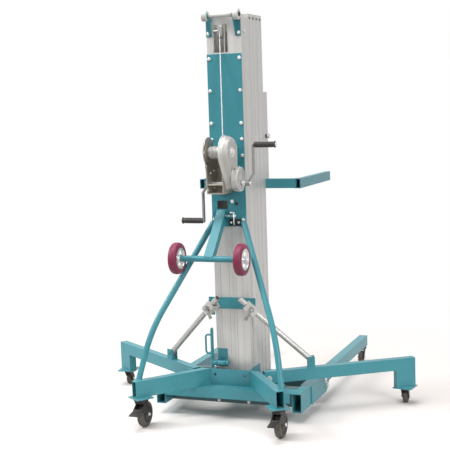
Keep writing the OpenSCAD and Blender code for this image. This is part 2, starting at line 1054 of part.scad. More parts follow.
module cable_tube(path, sides) {
    end = (len(path) - 1) * sides;
    points = [for (i = [0 : len(path) - 1], k = [0 : sides - 1]) ring_point(path, i, 360 / sides * k)];
    walls = [for (i = [0 : len(path) - 2], k = [0 : sides - 1])
        let (a = i * sides + k, b = i * sides + (k + 1) % sides)
        each [[a, b + sides, b], [a, a + sides, b + sides]]];
    first_cap = [for (k = [1 : sides - 2]) [0, k, k + 1]];
    last_cap = [for (k = [1 : sides - 2]) [end, end + k + 1, end + k]];
    polyhedron(points, concat(walls, first_cap, last_cap));
}

module drum_cable() {
    color(steel)
        framed()
            cable_tube(wind_path, wind_sides);
}

// Winch panel

module winch_panel() {
    color(teal)
        framed()
            difference() {
                union() {
                    difference() {
                        box([-mast_w / 2, -panel_t, panel_bottom], [mast_w / 2, 0, panel_top]);
                        box([strut_left, -panel_t - overrun, strut_open_bottom], [strut_right, overrun, strut_open_top]);
                    }
                    for (edge = [strut_left, strut_right - lug_t])
                        across(edge, edge + lug_t)
                            translate([strut_pivot_y, strut_pivot_z])
                                circle(r = lug_r);
                    for (ear = lock_ear_x)
                        box([ear - lock_ear_t / 2, -lock_pin_back - 2 * lock_pin_r, lock_pin_z - 2 * lock_pin_r],
                            [ear + lock_ear_t / 2, -panel_t + overrun / 2, lock_pin_z + 2 * lock_pin_r]);
                }
                translate([0, strut_pivot_y, strut_pivot_z])
                    rod_x(strut_pin_r + run_gap, strut_left - overrun, strut_right + overrun);
                translate([0, -lock_pin_back, lock_pin_z])
                    rod_x(lock_pin_r + run_gap, lock_ear_x[0] - lock_ear_t, lock_ear_x[1] + lock_ear_t);
            }
}

module strut_pin() {
    tip = strut_x + strut_w / 2 + lock_pin_tip_gap;
    color(steel)
        framed()
            translate([0, -lock_pin_back, lock_pin_z]) {
                rod_x(lock_pin_r, tip, tip + lock_pin_len);
                rod_x(lock_ring_r, tip + lock_pin_len - lock_pin_r, tip + lock_pin_len);
            }
}

// Loading wheels

module wheel_strut() {
    color(teal)
        framed()
            difference() {
                union() {
                    translate([strut_x, strut_pivot_y, strut_pivot_z]) {
                        rod_x(strut_pin_r, -strut_w / 2 - side_gap - lug_t, strut_w / 2 + side_gap + lug_t);
                        rod_x(strut_knuckle_r, lug_t - strut_w / 2, strut_w / 2 - lug_t);
                        rotate([-strut_angle, 0, 0])
                            box([-strut_w / 2, -strut_d / 2, -strut_len], [strut_w / 2, strut_d / 2, 0]);
                    }
                    translate([strut_x, axle_y, axle_z]) {
                        rod_x(axle_tube_r, load_side_gap - wheel_inner, wheel_inner - load_side_gap);
                        rod_x(axle_r, -wheel_inner - load_wheel_w - side_gap, wheel_inner + load_wheel_w + side_gap);
                        for (side = [left, right])
                            on_side(side)
                                rod_x(axle_nut_r, wheel_inner + load_wheel_w + side_gap,
                                    wheel_inner + load_wheel_w + side_gap + axle_nut_h);
                        for (side = [left, right])
                            on_side(side)
                                rod_x(axle_nut_r, wheel_inner - load_side_gap, wheel_inner - side_gap);
                    }
                }
                translate([strut_x + strut_w / 2, -lock_pin_back, lock_pin_z])
                    rod_x(lock_hole_r, -strut_w / 2, overrun);
            }
}

module loading_wheel(side) {
    half = load_wheel_w / 2;
    outer = load_wheel_d / 2;
    color(maroon)
        framed()
            translate([strut_x + side * load_track / 2, axle_y, axle_z])
                rotate([0, 90, 0])
                    rotate_extrude()
                        difference() {
                            translate([axle_r + run_gap, -half])
                                square([outer - axle_r - run_gap, load_wheel_w]);
                            for (face = [left, right]) {
                                translate([axle_nut_r + axle_r, face * half - load_hub_dish])
                                    square([load_hub_r - axle_nut_r - axle_r, 2 * load_hub_dish]);
                                translate([outer - load_tread_round, face * (half - load_tread_round)])
                                    difference() {
                                        translate([0, face < 0 ? -2 * load_tread_round : 0])
                                            square(2 * load_tread_round);
                                        circle(r = load_tread_round);
                                    }
                            }
                        }
}

module loading_wheel_left() { loading_wheel(left); }
module loading_wheel_right() { loading_wheel(right); }

// Base

module chassis_channel() {
    color(teal)
        framed() {
            box([-rail_x - rail_w / 2, channel_rear, rail_top], [rail_x + rail_w / 2, channel_front, deck]);
            box([-lip_half, channel_rear, lip_bottom], [lip_half, channel_rear + plate_t, deck]);
            for (side = [left, right])
                on_side(side)
                    difference() {
                        translate([rear_swivel_x, rear_swivel_y, rail_top])
                            rotate(-leg_angle)
                                translate([-caster_plate / 2, -caster_plate / 2, 0])
                                    cube([caster_plate, caster_plate, plate_t]);
                        translate([rear_swivel_x, rear_swivel_y, rail_top - overrun])
                            cylinder(r = kingpin_r + run_gap, h = plate_t + 2 * overrun);
                    }
        }
}

module cross_tubes() {
    inner = rail_x - rail_w / 2;
    color(teal)
        framed() {
            square_tube([-inner, rear_tube_y, rail_z], [inner, rear_tube_y + cross_tube_d, rail_top], tube_wall, 0);
            square_tube([plate_t - inner, front_tube_y, rail_z], [inner - plate_t, front_tube_y + cross_tube_d, rail_top], tube_wall, 0);
        }
}

module rear_legs() {
    color(teal)
        framed()
            for (side = [left, right])
                on_side(side)
                    difference() {
                        translate([leg_end_x, leg_end_y, deck])
                            rotate(180 - leg_angle)
                                square_tube([0, -leg_w / 2, 0], [leg_slab_len, leg_w / 2, leg_h], tube_wall, 0);
                        box([-rail_x, leg_root_y, 0], [rail_x, deck_half, mast_top]);
                        translate([rear_swivel_x, rear_swivel_y, deck - overrun])
                            cylinder(r = kingpin_nut_r + run_gap, h = tube_wall + 2 * overrun);
                    }
}

module stays() {
    upper = (stay_top - stay_bend) / norm(stay_top - stay_bend);
    lower = (stay_foot - stay_bend) / norm(stay_foot - stay_bend);
    color(teal)
        framed()
            for (side = [left, right])
                on_side(side) {
                    box([stay_tab[0], -panel_t - stay_tab_t, stay_tab_z[0]], [stay_tab[1], -panel_t, stay_tab_z[1]]);
                    difference() {
                        union() {
                            rod_between(stay_d / 2, stay_bend, stay_top + upper * stay_d);
                            rod_between(stay_d / 2, stay_bend, stay_foot + lower * stay_d);
                            translate(stay_bend)
                                sphere(d = stay_d + 2 * rest_gap);
                        }
                        across(0, rail_x)
                            polygon([[-panel_t, leg_top], [outer_d, leg_top], [outer_d, mast_top],
                                [-outer_d, mast_top], [-outer_d, stay_cut_z], [-panel_t, stay_cut_z]]);
                        box([rail_w, leg_end_y - stay_d, deck], [rail_x + rail_w, -outer_d, leg_top]);
                    }
                }
}

module side_rails() {
    low = rail_x - rail_w / 2;
    high = rail_x + rail_w / 2;
    color(teal)
        framed()
            for (side = [left, right])
                on_side(side)
                    difference() {
                        union() {
                            square_tube([low, rail_rear_y, rail_z], [high, rail_front_y, rail_top], tube_wall, 1);
                            for (x = [low - plate_t, high])
                                across(x, x + plate_t)
                                    polygon([[cheek_rear_y, rail_z], [cheek_front_y - chamfer_y, rail_z],
                                        [cheek_front_y, rail_z + chamfer_low], [cheek_front_y, rail_top - chamfer_high],
                                        [cheek_front_y - chamfer_y, rail_top], [cheek_rear_y, rail_top]]);
                        }
                        translate([0, hinge_y, hinge_z])
                            rod_x(hinge_r + run_gap, low - rail_w, high + rail_w);
                        translate([0, stop_pin_y, stop_pin_z])
                            rod_x(stop_pin_r + run_gap, low - rail_w, high + rail_w);
                    }
}

// Frame at an arm's pivot, turned so that the hinge runs along Y
module at_arm_hinge() {
    translate([arm_pivot[0], arm_pivot[1], arm_z])
        rotate(brace_angle)
            children();
}

// A round bar along Y, centred on the origin
module rod_y(radius, half) {
    translate([0, half, 0])
        rotate([90, 0, 0])
            cylinder(r = radius, h = 2 * half);
}

module mast_foot() {
    clevis_in = arm_boss_half + side_gap;
    color(teal)
        framed() {
            box([-deck_half, channel_front, rail_top], [deck_half, deck_front, deck]);
            box([-mast_deck_half, deck_front, rail_top], [mast_deck_half, front_tube_y + cross_tube_d / 2, deck]);
            difference() {
                box([-upright_half, leg_root_y, deck], [upright_half, leg_root_y + upright_t, leg_top]);
                for (side = [left, right])
                    translate([side * upright_hole_x, leg_root_y - overrun, leg_top - upright_hole_drop])
                        rotate([-90, 0, 0])
                            cylinder(r = upright_hole_r, h = upright_t + 2 * overrun);
            }
            for (side = [left, right])
                on_side(side) {
                    box([mast_w / 2, leg_root_y + upright_t, deck], [mast_w / 2 + cheek_t, cheek_front, leg_top - cheek_t]);
                    difference() {
                        at_arm_hinge()
                            for (edge = [-clevis_in - bracket_t, clevis_in])
                                box([-bracket_half, edge, deck - arm_z], [bracket_half, edge + bracket_t, bracket_rise]);
                        at_arm_hinge()
                            rod_y(arm_pin_r + run_gap, clevis_in + 2 * bracket_t);
                    }
                }
        }
}

module hold_down_lever() {
    bar_left = hold_tube_left - hold_bar_t;
    color(zinc)
        framed() {
            translate([0, hold_y, hold_z]) {
                rod_x(hold_shaft_r, hold_tube_left, hold_tube_right);
                rod_x(hold_tube_r, hold_tube_left, hold_ear_x[0] - side_gap);
                rod_x(hold_tube_r, hold_ear_x[0] + hold_ear_t + side_gap, hold_ear_x[1] - side_gap);
                rod_x(hold_tube_r, hold_ear_x[1] + hold_ear_t + side_gap, hold_tube_right);
            }
            box([bar_left, hold_y - hold_bar_w / 2, hold_z - hold_bar_w],
                [hold_tube_left, hold_y + hold_bar_w / 2, hold_bar_top]);
            for (z = [hold_loop_low, hold_loop_high])
                translate([0, hold_y, z])
                    rod_x(hold_loop_r, bar_left - hold_loop_reach, bar_left);
            translate([bar_left - hold_loop_reach + hold_loop_r, hold_y, hold_loop_low])
                cylinder(r = hold_loop_r, h = hold_loop_high - hold_loop_low);
        }
}

// Braces, and the clamps and hinge bracket on the mast, drawn along the brace with X running down to the lug

module along_brace() {
    translate(clamp_point)
        rotate([0, brace_pitch, brace_angle])
            children();
}

module brace_bracket() {
    color(teal)
        framed() {
            rotate([90, 0, 0])
                linear_extrude(brace_plate_t) {
                    translate([-brace_plate_half, brace_plate_bottom])
                        square([2 * brace_plate_half, brace_plate_h]);
                    for (x = [-brace_plate_half, brace_plate_half - brace_ear_w])
                        translate([x, brace_plate_bottom - brace_ear_drop])
                            square([brace_ear_w, 2 * brace_ear_drop]);
                }
            difference() {
                union() {
                    box([hold_ear_x[0], -hold_plate_t, hold_plate_z[0]], [hold_ear_x[1] + hold_ear_t, 0, hold_plate_z[1]]);
                    for (ear = hold_ear_x)
                        across(ear, ear + hold_ear_t) {
                            translate([hold_y, hold_z])
                                circle(r = hold_ear_r);
                            translate([hold_y, hold_z - hold_ear_r])
                                square([-hold_y, 2 * hold_ear_r]);
                        }
                }
                translate([0, hold_y, hold_z])
                    rod_x(hold_shaft_r + run_gap, -mast_w, mast_w);
            }
        }
}

module mast_brackets() {
    half = brace_d / 2 + clamp_side_gap;
    low = -brace_d / 2 - clamp_seat_gap;
    color(zinc)
        framed() {
            for (side = [left, right])
                on_side(side) {
                    difference() {
                        along_brace()
                            box([clamp_span[0], -half - clamp_wall, low - clamp_floor], [clamp_span[1], clamp_reach, clamp_top]);
                        along_brace()
                            box([clamp_span[0] - overrun, -half, low], [clamp_span[1] + overrun, half, clamp_top + overrun]);
                        box([0, -brace_plate_t, 0], [rail_x, outer_d, mast_top]);
                    }
                    along_brace()
                        translate([clamp_stud_x, -half - overrun, 0])
                            rotate([90, 0, 0])
                                cylinder(r = clamp_stud_r, h = clamp_wall + lever_hub_h + rest_gap);
                }
        }
}

module clamp_lever(side) {
    face = brace_d / 2 + clamp_side_gap + clamp_wall + rest_gap;
    color(steel)
        framed()
            on_side(side)
                along_brace()
                    translate([clamp_stud_x, -face, 0])
                        difference() {
                            union() {
                                rotate([90, 0, 0])
                                    cylinder(r = lever_hub_r, h = lever_hub_h);
                                translate([0, -lever_hub_h / 2, 0])
                                    rotate([0, 180 - lever_tilt, 0]) {
                                        cylinder(r = lever_r, h = lever_len);
                                        translate([0, 0, lever_len - lever_knob_r])
                                            cylinder(r = lever_knob_r, h = 2 * lever_knob_r);
                                    }
                            }
                            translate([0, overrun, 0])
                                rotate([90, 0, 0])
                                    cylinder(r = clamp_stud_r + run_gap, h = lever_hub_h + 2 * overrun);
                        }
}

module clamp_lever_left() { clamp_lever(left); }
module clamp_lever_right() { clamp_lever(right); }

module brace(side) {
    reach = norm(brace_axis);
    color(zinc)
        framed()
            on_side(side)
                along_brace()
                    difference() {
                        union() {
                            rod_x(brace_d / 2, -brace_over, reach);
                            translate([reach, 0, 0])
                                rod_y(lug_eye_r, brace_d / 2 - brace_wall / 2);
                        }
                        rod_x(brace_d / 2 - brace_wall, -brace_over - overrun, reach - 2 * lug_eye_r);
                        translate([reach, 0, 0])
                            rod_y(lug_pin_r + run_gap, brace_d);
                    }
}

module brace_left() { brace(left); }
module brace_right() { brace(right); }

// Frame of an arm: X along the arm from its pivot
module along_arm() {
    translate([arm_pivot[0], arm_pivot[1], arm_z])
        rotate(arm_angle)
            children();
}

module arm(side) {
    lug_in = brace_d / 2 + side_gap;
    foot_start = arm_len - foot_len;
    swivel = arm_len - foot_len / 2;
    color(teal)
        framed()
            on_side(side)
                difference() {
                    union() {
                        along_arm() {
                            square_tube([-arm_back, -arm_w / 2, -arm_h / 2], [foot_start, arm_w / 2, arm_h / 2], tube_wall, 0);
                            difference() {
                                box([foot_start - tube_wall, -arm_w / 2, foot_block_bottom - plate_t / 2 - arm_z],
                                    [arm_len, arm_w / 2, arm_h / 2]);
                                box([foot_start, tube_wall - arm_w / 2, foot_block_bottom - plate_t - arm_z],
                                    [arm_len - tube_wall, arm_w / 2 - tube_wall, arm_h / 2 - tube_wall]);
                            }
                            translate([swivel, 0, foot_block_bottom - plate_t - arm_z])
                                rotate(foot_turn)
                                    translate([-foot_plate / 2, -foot_plate / 2, 0])
                                        cube([foot_plate, foot_plate, plate_t]);
                        }
                        at_arm_hinge()
                            rod_y(arm_boss_r, arm_boss_half);
                        translate(lug_point)
                            rotate(brace_angle) {
                                for (edge = [-lug_in - lug_plate_t, lug_in])
                                    box([-lug_half, edge, arm_top - tube_wall / 2 - lug_z], [lug_half, edge + lug_plate_t, lug_half]);
                                rod_y(lug_pin_r, lug_in + 2 * lug_plate_t);
                            }
                    }
                    at_arm_hinge()
                        rod_y(arm_pin_r + run_gap, arm_boss_half + arm_h);
                    along_arm()
                        translate([swivel, 0, foot_block_bottom - plate_t - arm_z - overrun])
                            cylinder(r = kingpin_r + run_gap, h = plate_t + 2 * overrun);
                }
}

module arm_left() { arm(left); }
module arm_right() { arm(right); }

// Folding front legs

module front_leg(side) {
    low = rail_x - rail_w / 2 + side_gap;
    high = rail_x + rail_w / 2 - side_gap;
    color(teal)
        framed()
            on_side(side)
                difference() {
                    square_tube([low, leg_rear_y, leg_z], [high, front_leg_tip, leg_z + front_leg_h], tube_wall, 1);
                    translate([0, hinge_y, hinge_z])
                        rod_x(hinge_r + run_gap, low - overrun, high + overrun);
                    translate([rail_x, leg_swivel_y, leg_z - overrun])
                        cylinder(r = kingpin_r + run_gap, h = tube_wall + 2 * overrun);
                }
}

module front_leg_left() { front_leg(left); }
module front_leg_right() { front_leg(right); }

// Casters: drawn with the swivel axis at the origin, the wheel trailing to +Y,
// under a plate whose underside is at height top

function crown_low(wheel_d) = wheel_d + wheel_clear;
function head_low(wheel_d, top) = crown_low(wheel_d) + (top - crown_low(wheel_d)) * crown_share;

module caster_fork(wheel_d, wheel_w, trail, top, mount_t, head_r) {
    inner = wheel_w / 2 + caster_gap;
    crown = head_low(wheel_d, top);
    nut_z = top + mount_t + rest_gap;
    translate([0, 0, crown])
        cylinder(r = head_r, h = top - rest_gap - crown);
    translate([0, 0, crown])
        cylinder(r = kingpin_r, h = nut_z - crown);
    translate([0, 0, nut_z])
        cylinder(r = kingpin_nut_r, h = kingpin_nut_h);
    box([-inner - caster_leg_t, -head_r * crown_back_share, crown_low(wheel_d)],
        [inner + caster_leg_t, head_r * crown_back_share, crown]);
    for (edge = [-inner - caster_leg_t, inner])
        across(edge, edge + caster_leg_t) {
            polygon([[-head_r * crown_back_share, crown], [head_r * crown_back_share, crown],
                [trail + caster_axle_boss, wheel_d / 2], [trail - caster_axle_boss, wheel_d / 2]]);
            translate([trail, wheel_d / 2])
                circle(r = caster_axle_boss);
        }
    translate([0, trail, wheel_d / 2])
        rod_x(caster_axle_r, -inner - 2 * caster_leg_t, inner + 2 * caster_leg_t);
}

module caster_wheel(wheel_d, wheel_w, trail) {
    outer = wheel_d / 2;
    half = wheel_w / 2;
    round_r = wheel_w * tread_round_share;
    translate([0, trail, outer])
        rotate([0, 90, 0])
            rotate_extrude()
                difference() {
                    translate([caster_axle_r + run_gap, -half])
                        square([outer - caster_axle_r - run_gap, wheel_w]);
                    for (face = [left, right]) {
                        translate([outer * hub_share, face * half - hub_dish])
                            square([outer * (rim_share - hub_share), 2 * hub_dish]);
                        translate([outer - round_r, face * (half - round_r)])
                            difference() {
                                translate([0, face < 0 ? -2 * round_r : 0])
                                    square(2 * round_r);
                                circle(r = round_r);
                            }
                    }
                }
}

module at_rear_caster(side) {
    framed()
        on_side(side)
            translate([rear_swivel_x, rear_swivel_y, 0])
                children();
}

module at_arm_caster(side) {
    framed()
        on_side(side)
            translate([arm_pivot[0] + (arm_len - foot_len / 2) * cos(arm_angle),
                arm_pivot[1] + (arm_len - foot_len / 2) * sin(arm_angle), 0])
                children();
}

module at_leg_caster(side) {
    framed()
        on_side(side)
            translate([rail_x, leg_swivel_y, 0])
                rotate(180)
                    children();
}

module rear_caster_fork(side) {
    inner = rear_wheel_w / 2 + caster_gap;
    color(zinc)
        at_rear_caster(side) {
            caster_fork(rear_wheel_d, rear_wheel_w, rear_trail, rail_top, plate_t, rear_head_r);
            for (edge = [-inner - caster_leg_t, inner])
                across(edge, edge + caster_leg_t) {
                    polygon([[0, head_low(rear_wheel_d, rail_top) - overrun],
                        [rear_trail, rear_wheel_d / 2], [pedal_pivot_y, pedal_z - pedal_hub_r], [pedal_pivot_y, pedal_z + pedal_hub_r]]);
                    translate([pedal_pivot_y, pedal_z])
                        circle(r = pedal_hub_r);
                }
            translate([0, pedal_pivot_y, pedal_z])
                rod_x(pedal_pin_r, -inner - caster_leg_t, inner + caster_leg_t);
        }
}

module brake_pedal(side) {
    half = rear_wheel_w / 2 + caster_gap - side_gap;
    color(black)
        at_rear_caster(side)
            translate([0, pedal_pivot_y, pedal_z])
                rotate([pedal_angle, 0, 0])
                    difference() {
                        union() {
                            rod_x(pedal_hub_r, -half, half);
                            box([-half, -pedal_hub_r * 2, -pedal_t / 2], [half, 0, pedal_t / 2]);
                            box([-pedal_w / 2, -pedal_len, -pedal_t / 2], [pedal_w / 2, -pedal_hub_r * 2, pedal_t / 2]);
                        }
                        rod_x(pedal_pin_r + run_gap, -pedal_w, pedal_w);
                    }
}

module rear_caster_fork_left() { rear_caster_fork(left); }
module rear_caster_fork_right() { rear_caster_fork(right); }
module brake_pedal_left() { brake_pedal(left); }
module brake_pedal_right() { brake_pedal(right); }

module rear_caster_wheel(side) {
    color(black)
        at_rear_caster(side)
            caster_wheel(rear_wheel_d, rear_wheel_w, rear_trail);
}

module rear_caster_wheel_left() { rear_caster_wheel(left); }
module rear_caster_wheel_right() { rear_caster_wheel(right); }

module arm_caster_fork(side) {
    color(zinc)
        at_arm_caster(side)
            caster_fork(arm_wheel_d, small_wheel_w, arm_trail, foot_block_bottom - plate_t, plate_t, small_head_r);
}

module arm_caster_wheel(side) {
    color(black)
        at_arm_caster(side)
            caster_wheel(arm_wheel_d, small_wheel_w, arm_trail);
}

module arm_caster_fork_left() { arm_caster_fork(left); }
module arm_caster_fork_right() { arm_caster_fork(right); }
module arm_caster_wheel_left() { arm_caster_wheel(left); }
module arm_caster_wheel_right() { arm_caster_wheel(right); }

module leg_caster_fork(side) {
    color(zinc)
        at_leg_caster(side)
            caster_fork(leg_wheel_d, small_wheel_w, leg_trail, leg_z, tube_wall, small_head_r);
}

module leg_caster_wheel(side) {
    color(black)
        at_leg_caster(side)
            caster_wheel(leg_wheel_d, small_wheel_w, leg_trail);
}

module leg_caster_fork_left() { leg_caster_fork(left); }
module leg_caster_fork_right() { leg_caster_fork(right); }
module leg_caster_wheel_left() { leg_caster_wheel(left); }
module leg_caster_wheel_right() { leg_caster_wheel(right); }

// Fixed pins, bolts and the panel's latch knob

module headed_pin(radius, from_x, to_x, head_r, head_h) {
    rod_x(radius, from_x, to_x);
    rod_x(head_r, to_x, to_x + head_h);
}

module frame_bolts() {
    cheek_in = rail_x - rail_w / 2 - plate_t;
    cheek_out = rail_x + rail_w / 2 + plate_t;
    clevis_out = arm_boss_half + side_gap + bracket_t;
    recess_x = mast_w / 2 - side_recess_d;
    color(steel)
        framed() {
            for (side = [left, right])
                on_side(side) {
                    for (share = panel_bolt_shares)
                        translate([mast_w / 2 - panel_bolt_inset, -panel_t,
                            panel_bottom + share * (panel_top - panel_bottom)])
                            bolt_back();
                    translate([mast_w / 2 - panel_bolt_inset, -panel_t - stay_tab_t, panel_low_bolt])
                        bolt_back();
                    translate([upright_hole_x, rear_tube_y, rail_z + bolt_r + bolt_dome])
                        bolt_back();
                    translate([0, hinge_y, hinge_z])
                        headed_pin(hinge_r, cheek_in + rest_gap, cheek_out, hinge_head_r, hinge_head_h);
                    translate([0, stop_pin_y, stop_pin_z])
                        headed_pin(stop_pin_r, cheek_in + rest_gap, cheek_out, hinge_head_r, hinge_head_h);
                    at_arm_hinge() {
                        rod_y(arm_pin_r, clevis_out);
                        for (turn = [0, 180])
                            rotate(turn)
                                translate([0, clevis_out, 0])
                                    rotate([-90, 0, 0])
                                        cylinder(r = hinge_head_r, h = hinge_head_h);
                    }
                }
            translate([0, sheave_y, sheave_z])
                for (side = [left, right])
                    on_side(side)
                        headed_pin(sheave_pin_r - run_gap, -overrun, recess_x, sheave_head_r, hinge_head_h);
            translate([latch_x, -panel_t, latch_z])
                rotate([90, 0, 0]) {
                    cylinder(r = knob_stem_r, h = knob_reach);
                    translate([0, 0, knob_reach / 2])
                        cylinder(r = knob_r, h = knob_reach / 2);
                }
        }
}

chassis_channel();
cross_tubes();
side_rails();
rear_legs();
mast_foot();
stays();
mast_outer();
winch_panel();
brace_bracket();
mast_brackets();
roller_ears();
winch_frame();
gear_cover();
brake_housing();
frame_bolts();
hoist_cable();
mast_2();
mast_3();
mast_4();
mast_5();
carriage();
forks();
carriage_knob();
top_roller();
cable_sheave();
cable_drum();
drum_cable();
drum_gear();
idler_gear();
crank_shaft();
crank_arms();
grip_left();
grip_right();
wheel_strut();
loading_wheel_left();
loading_wheel_right();
strut_pin();
arm_left();
arm_right();
brace_left();
brace_right();
clamp_lever_left();
clamp_lever_right();
front_leg_left();
front_leg_right();
rear_caster_fork_left();
rear_caster_fork_right();
rear_caster_wheel_left();
rear_caster_wheel_right();
brake_pedal_left();
brake_pedal_right();
arm_caster_fork_left();
arm_caster_fork_right();
arm_caster_wheel_left();
arm_caster_wheel_right();
leg_caster_fork_left();
leg_caster_fork_right();
leg_caster_wheel_left();
leg_caster_wheel_right();
hold_down_lever();
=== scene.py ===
"""A hand-winched material hoist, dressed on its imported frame.

Every solid of the frame gets a finish here, and the pieces that a plain solid can't show are built on it:
stranded cable, fluted loading wheels, moulded grips, bolt heads, weld beads and the winch's castings.
Drawing lengths are millimetres from the mast's rear face; at() turns them into frame metres.
"""
import json
import math

import bmesh
import bpy
from mathutils import Matrix, Vector


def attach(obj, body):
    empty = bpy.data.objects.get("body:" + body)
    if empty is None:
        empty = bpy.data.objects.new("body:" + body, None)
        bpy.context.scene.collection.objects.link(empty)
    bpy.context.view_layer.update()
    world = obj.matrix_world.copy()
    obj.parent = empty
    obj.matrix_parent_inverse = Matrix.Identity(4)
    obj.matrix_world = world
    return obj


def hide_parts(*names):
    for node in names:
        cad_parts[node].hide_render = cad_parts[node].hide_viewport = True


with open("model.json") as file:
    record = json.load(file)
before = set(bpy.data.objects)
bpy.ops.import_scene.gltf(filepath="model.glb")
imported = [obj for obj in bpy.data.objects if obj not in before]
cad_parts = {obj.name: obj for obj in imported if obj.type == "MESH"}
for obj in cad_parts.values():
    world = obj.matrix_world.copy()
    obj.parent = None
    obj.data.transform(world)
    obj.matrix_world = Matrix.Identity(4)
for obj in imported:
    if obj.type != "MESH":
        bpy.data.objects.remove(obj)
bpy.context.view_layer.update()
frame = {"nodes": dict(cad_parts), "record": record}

CENTRE_Y = 383.414
X_AXIS = Vector((1, 0, 0))
Y_AXIS = Vector((0, 1, 0))
Z_AXIS = Vector((0, 0, 1))


def at(point):
    """A point of the drawing as a point of the frame."""
    return Vector((point[0], point[1] - CENTRE_Y, point[2])) * 0.001


# Camera

CAMERA_PLACE = (1.9253, -5.3929, 1.5531)
CAMERA_TURNS = (21.282, 6.302, -1.891)
SENSOR_WIDTH = 36
LENS = 86.65


def place_camera():
    """The camera, from its place in metres and its yaw, pitch and roll in degrees."""
    yaw, pitch, roll = (math.radians(angle) for angle in CAMERA_TURNS)
    forward = Vector((-math.sin(yaw) * math.cos(pitch), math.cos(yaw) * math.cos(pitch), -math.sin(pitch)))
    level = Vector((math.cos(yaw), math.sin(yaw), 0))
    side = level * math.cos(roll) + level.cross(forward) * math.sin(roll)
    top = side.cross(forward)
    lens = bpy.data.cameras.new("camera")
    lens.sensor_width = SENSOR_WIDTH
    lens.lens = LENS
    camera = bpy.data.objects.new("camera", lens)
    turn = Matrix((side, top, -forward)).transposed().to_4x4()
    camera.matrix_world = Matrix.Translation(CAMERA_PLACE) @ turn
    bpy.context.scene.collection.objects.link(camera)
    bpy.context.scene.camera = camera


place_camera()


# Shader trees

class Tree:
    """Short calls to place and wire the nodes of one tree."""

    def __init__(self, tree):
        self.tree = tree

    def put(self, kind, **settings):
        node = self.tree.nodes.new(kind)
        for key, value in settings.items():
            setattr(node, key, value)
        return node

    def feed(self, socket, value):
        if isinstance(value, bpy.types.NodeSocket):
            self.tree.links.new(value, socket)
        else:
            socket.default_value = value

    def apply(self, operation, first, second=0.0, clamp=False):
        node = self.put("ShaderNodeMath", operation=operation, use_clamp=clamp)
        self.feed(node.inputs[0], first)
        self.feed(node.inputs[1], second)
        return node.outputs[0]

    def between(self, value, low, high, to_low=0.0, to_high=1.0):
        node = self.put("ShaderNodeMapRange")
        for socket, given in zip(node.inputs, (value, low, high, to_low, to_high)):
            self.feed(socket, given)
        return node.outputs[0]

    def mix(self, factor, first, second):
        node = self.put("ShaderNodeMix", data_type="RGBA")
        self.feed(node.inputs[0], factor)
        self.feed(node.inputs[6], first)
        self.feed(node.inputs[7], second)
        return node.outputs[2]

    def place(self, stretch=None):
        vector = self.put("ShaderNodeTexCoord").outputs["Object"]
        if stretch is None:
            return vector
        node = self.put("ShaderNodeVectorMath", operation="MULTIPLY")
        self.feed(node.inputs[0], vector)
        self.feed(node.inputs[1], stretch)
        return node.outputs[0]

    def noise(self, vector, scale, detail):
        node = self.put("ShaderNodeTexNoise")
        self.feed(node.inputs["Vector"], vector)
        self.feed(node.inputs["Scale"], scale)
        self.feed(node.inputs["Detail"], detail)
        return node.outputs[0]


def effect(name, inputs, outputs):
    """A shader node group with float inputs, and its entry and exit."""
    group = bpy.data.node_groups.new(name, "ShaderNodeTree")
    for label, value in inputs:
        group.interface.new_socket(label, in_out="INPUT", socket_type="NodeSocketFloat").default_value = value
    for label, kind in outputs:
        group.interface.new_socket(label, in_out="OUTPUT", socket_type=kind)
    tree = Tree(group)
    return tree, tree.put("NodeGroupInput").outputs, tree.put("NodeGroupOutput").inputs


def make_edge_wear():
    """Softened edges, and a broken mask along them."""
    tree, given, out = effect("edge_wear", [("Radius", 0.002), ("Amount", 1.0), ("Scale", 60.0)],
                              [("Normal", "NodeSocketVector"), ("Wear", "NodeSocketFloat")])
    soft = tree.put("ShaderNodeBevel", samples=4)
    tree.feed(soft.inputs["Radius"], given["Radius"])
    plain = tree.put("ShaderNodeNewGeometry").outputs["Normal"]
    dot = tree.put("ShaderNodeVectorMath", operation="DOT_PRODUCT")
    tree.feed(dot.inputs[0], soft.outputs[0])
    tree.feed(dot.inputs[1], plain)
    edge = tree.between(dot.outputs["Value"], 0.995, 0.86)
    chip = tree.between(tree.noise(tree.place(), given["Scale"], 4.0), 0.46, 0.66)
    tree.feed(out["Wear"], tree.apply("MULTIPLY", tree.apply("MULTIPLY", edge, chip), given["Amount"], clamp=True))
    tree.feed(out["Normal"], soft.outputs[0])


def make_mottle():
    """Broad blotches, fine specks and a grain height."""
    tree, given, out = effect("mottle", [("Broad", 6.0), ("Fine", 90.0), ("Grain", 700.0)],
                              [(label, "NodeSocketFloat") for label in ("Blotch", "Speck", "Height")])
    where = tree.place()
    tree.feed(out["Blotch"], tree.between(tree.noise(where, given["Broad"], 3.0), 0.3, 0.7))
    tree.feed(out["Speck"], tree.between(tree.noise(where, given["Fine"], 3.0), 0.35, 0.7))
    tree.feed(out["Height"], tree.noise(where, given["Grain"], 2.0))


def make_drawn_lines():
    """Fine die lines that run up an extrusion."""
    tree, given, out = effect("drawn_lines", [("Fineness", 420.0)],
                              [("Lines", "NodeSocketFloat"), ("Bands", "NodeSocketFloat")])
    along = tree.place((1.0, 1.0, 0.006))
    tree.feed(out["Lines"], tree.noise(along, given["Fineness"], 3.0))
    broad = tree.noise(along, tree.apply("MULTIPLY", given["Fineness"], 0.12), 2.0)
    tree.feed(out["Bands"], tree.between(broad, 0.3, 0.7))


def make_spangle():
    """The crystals of a zinc coat."""
    tree, given, out = effect("spangle", [("Scale", 140.0)], [("Flake", "NodeSocketFloat")])
    cells = tree.put("ShaderNodeTexVoronoi")
    tree.feed(cells.inputs["Vector"], tree.place())
    tree.feed(cells.inputs["Scale"], given["Scale"])
    split = tree.put("ShaderNodeSeparateColor")
    tree.feed(split.inputs[0], cells.outputs["Color"])
    tree.feed(out["Flake"], split.outputs[0])


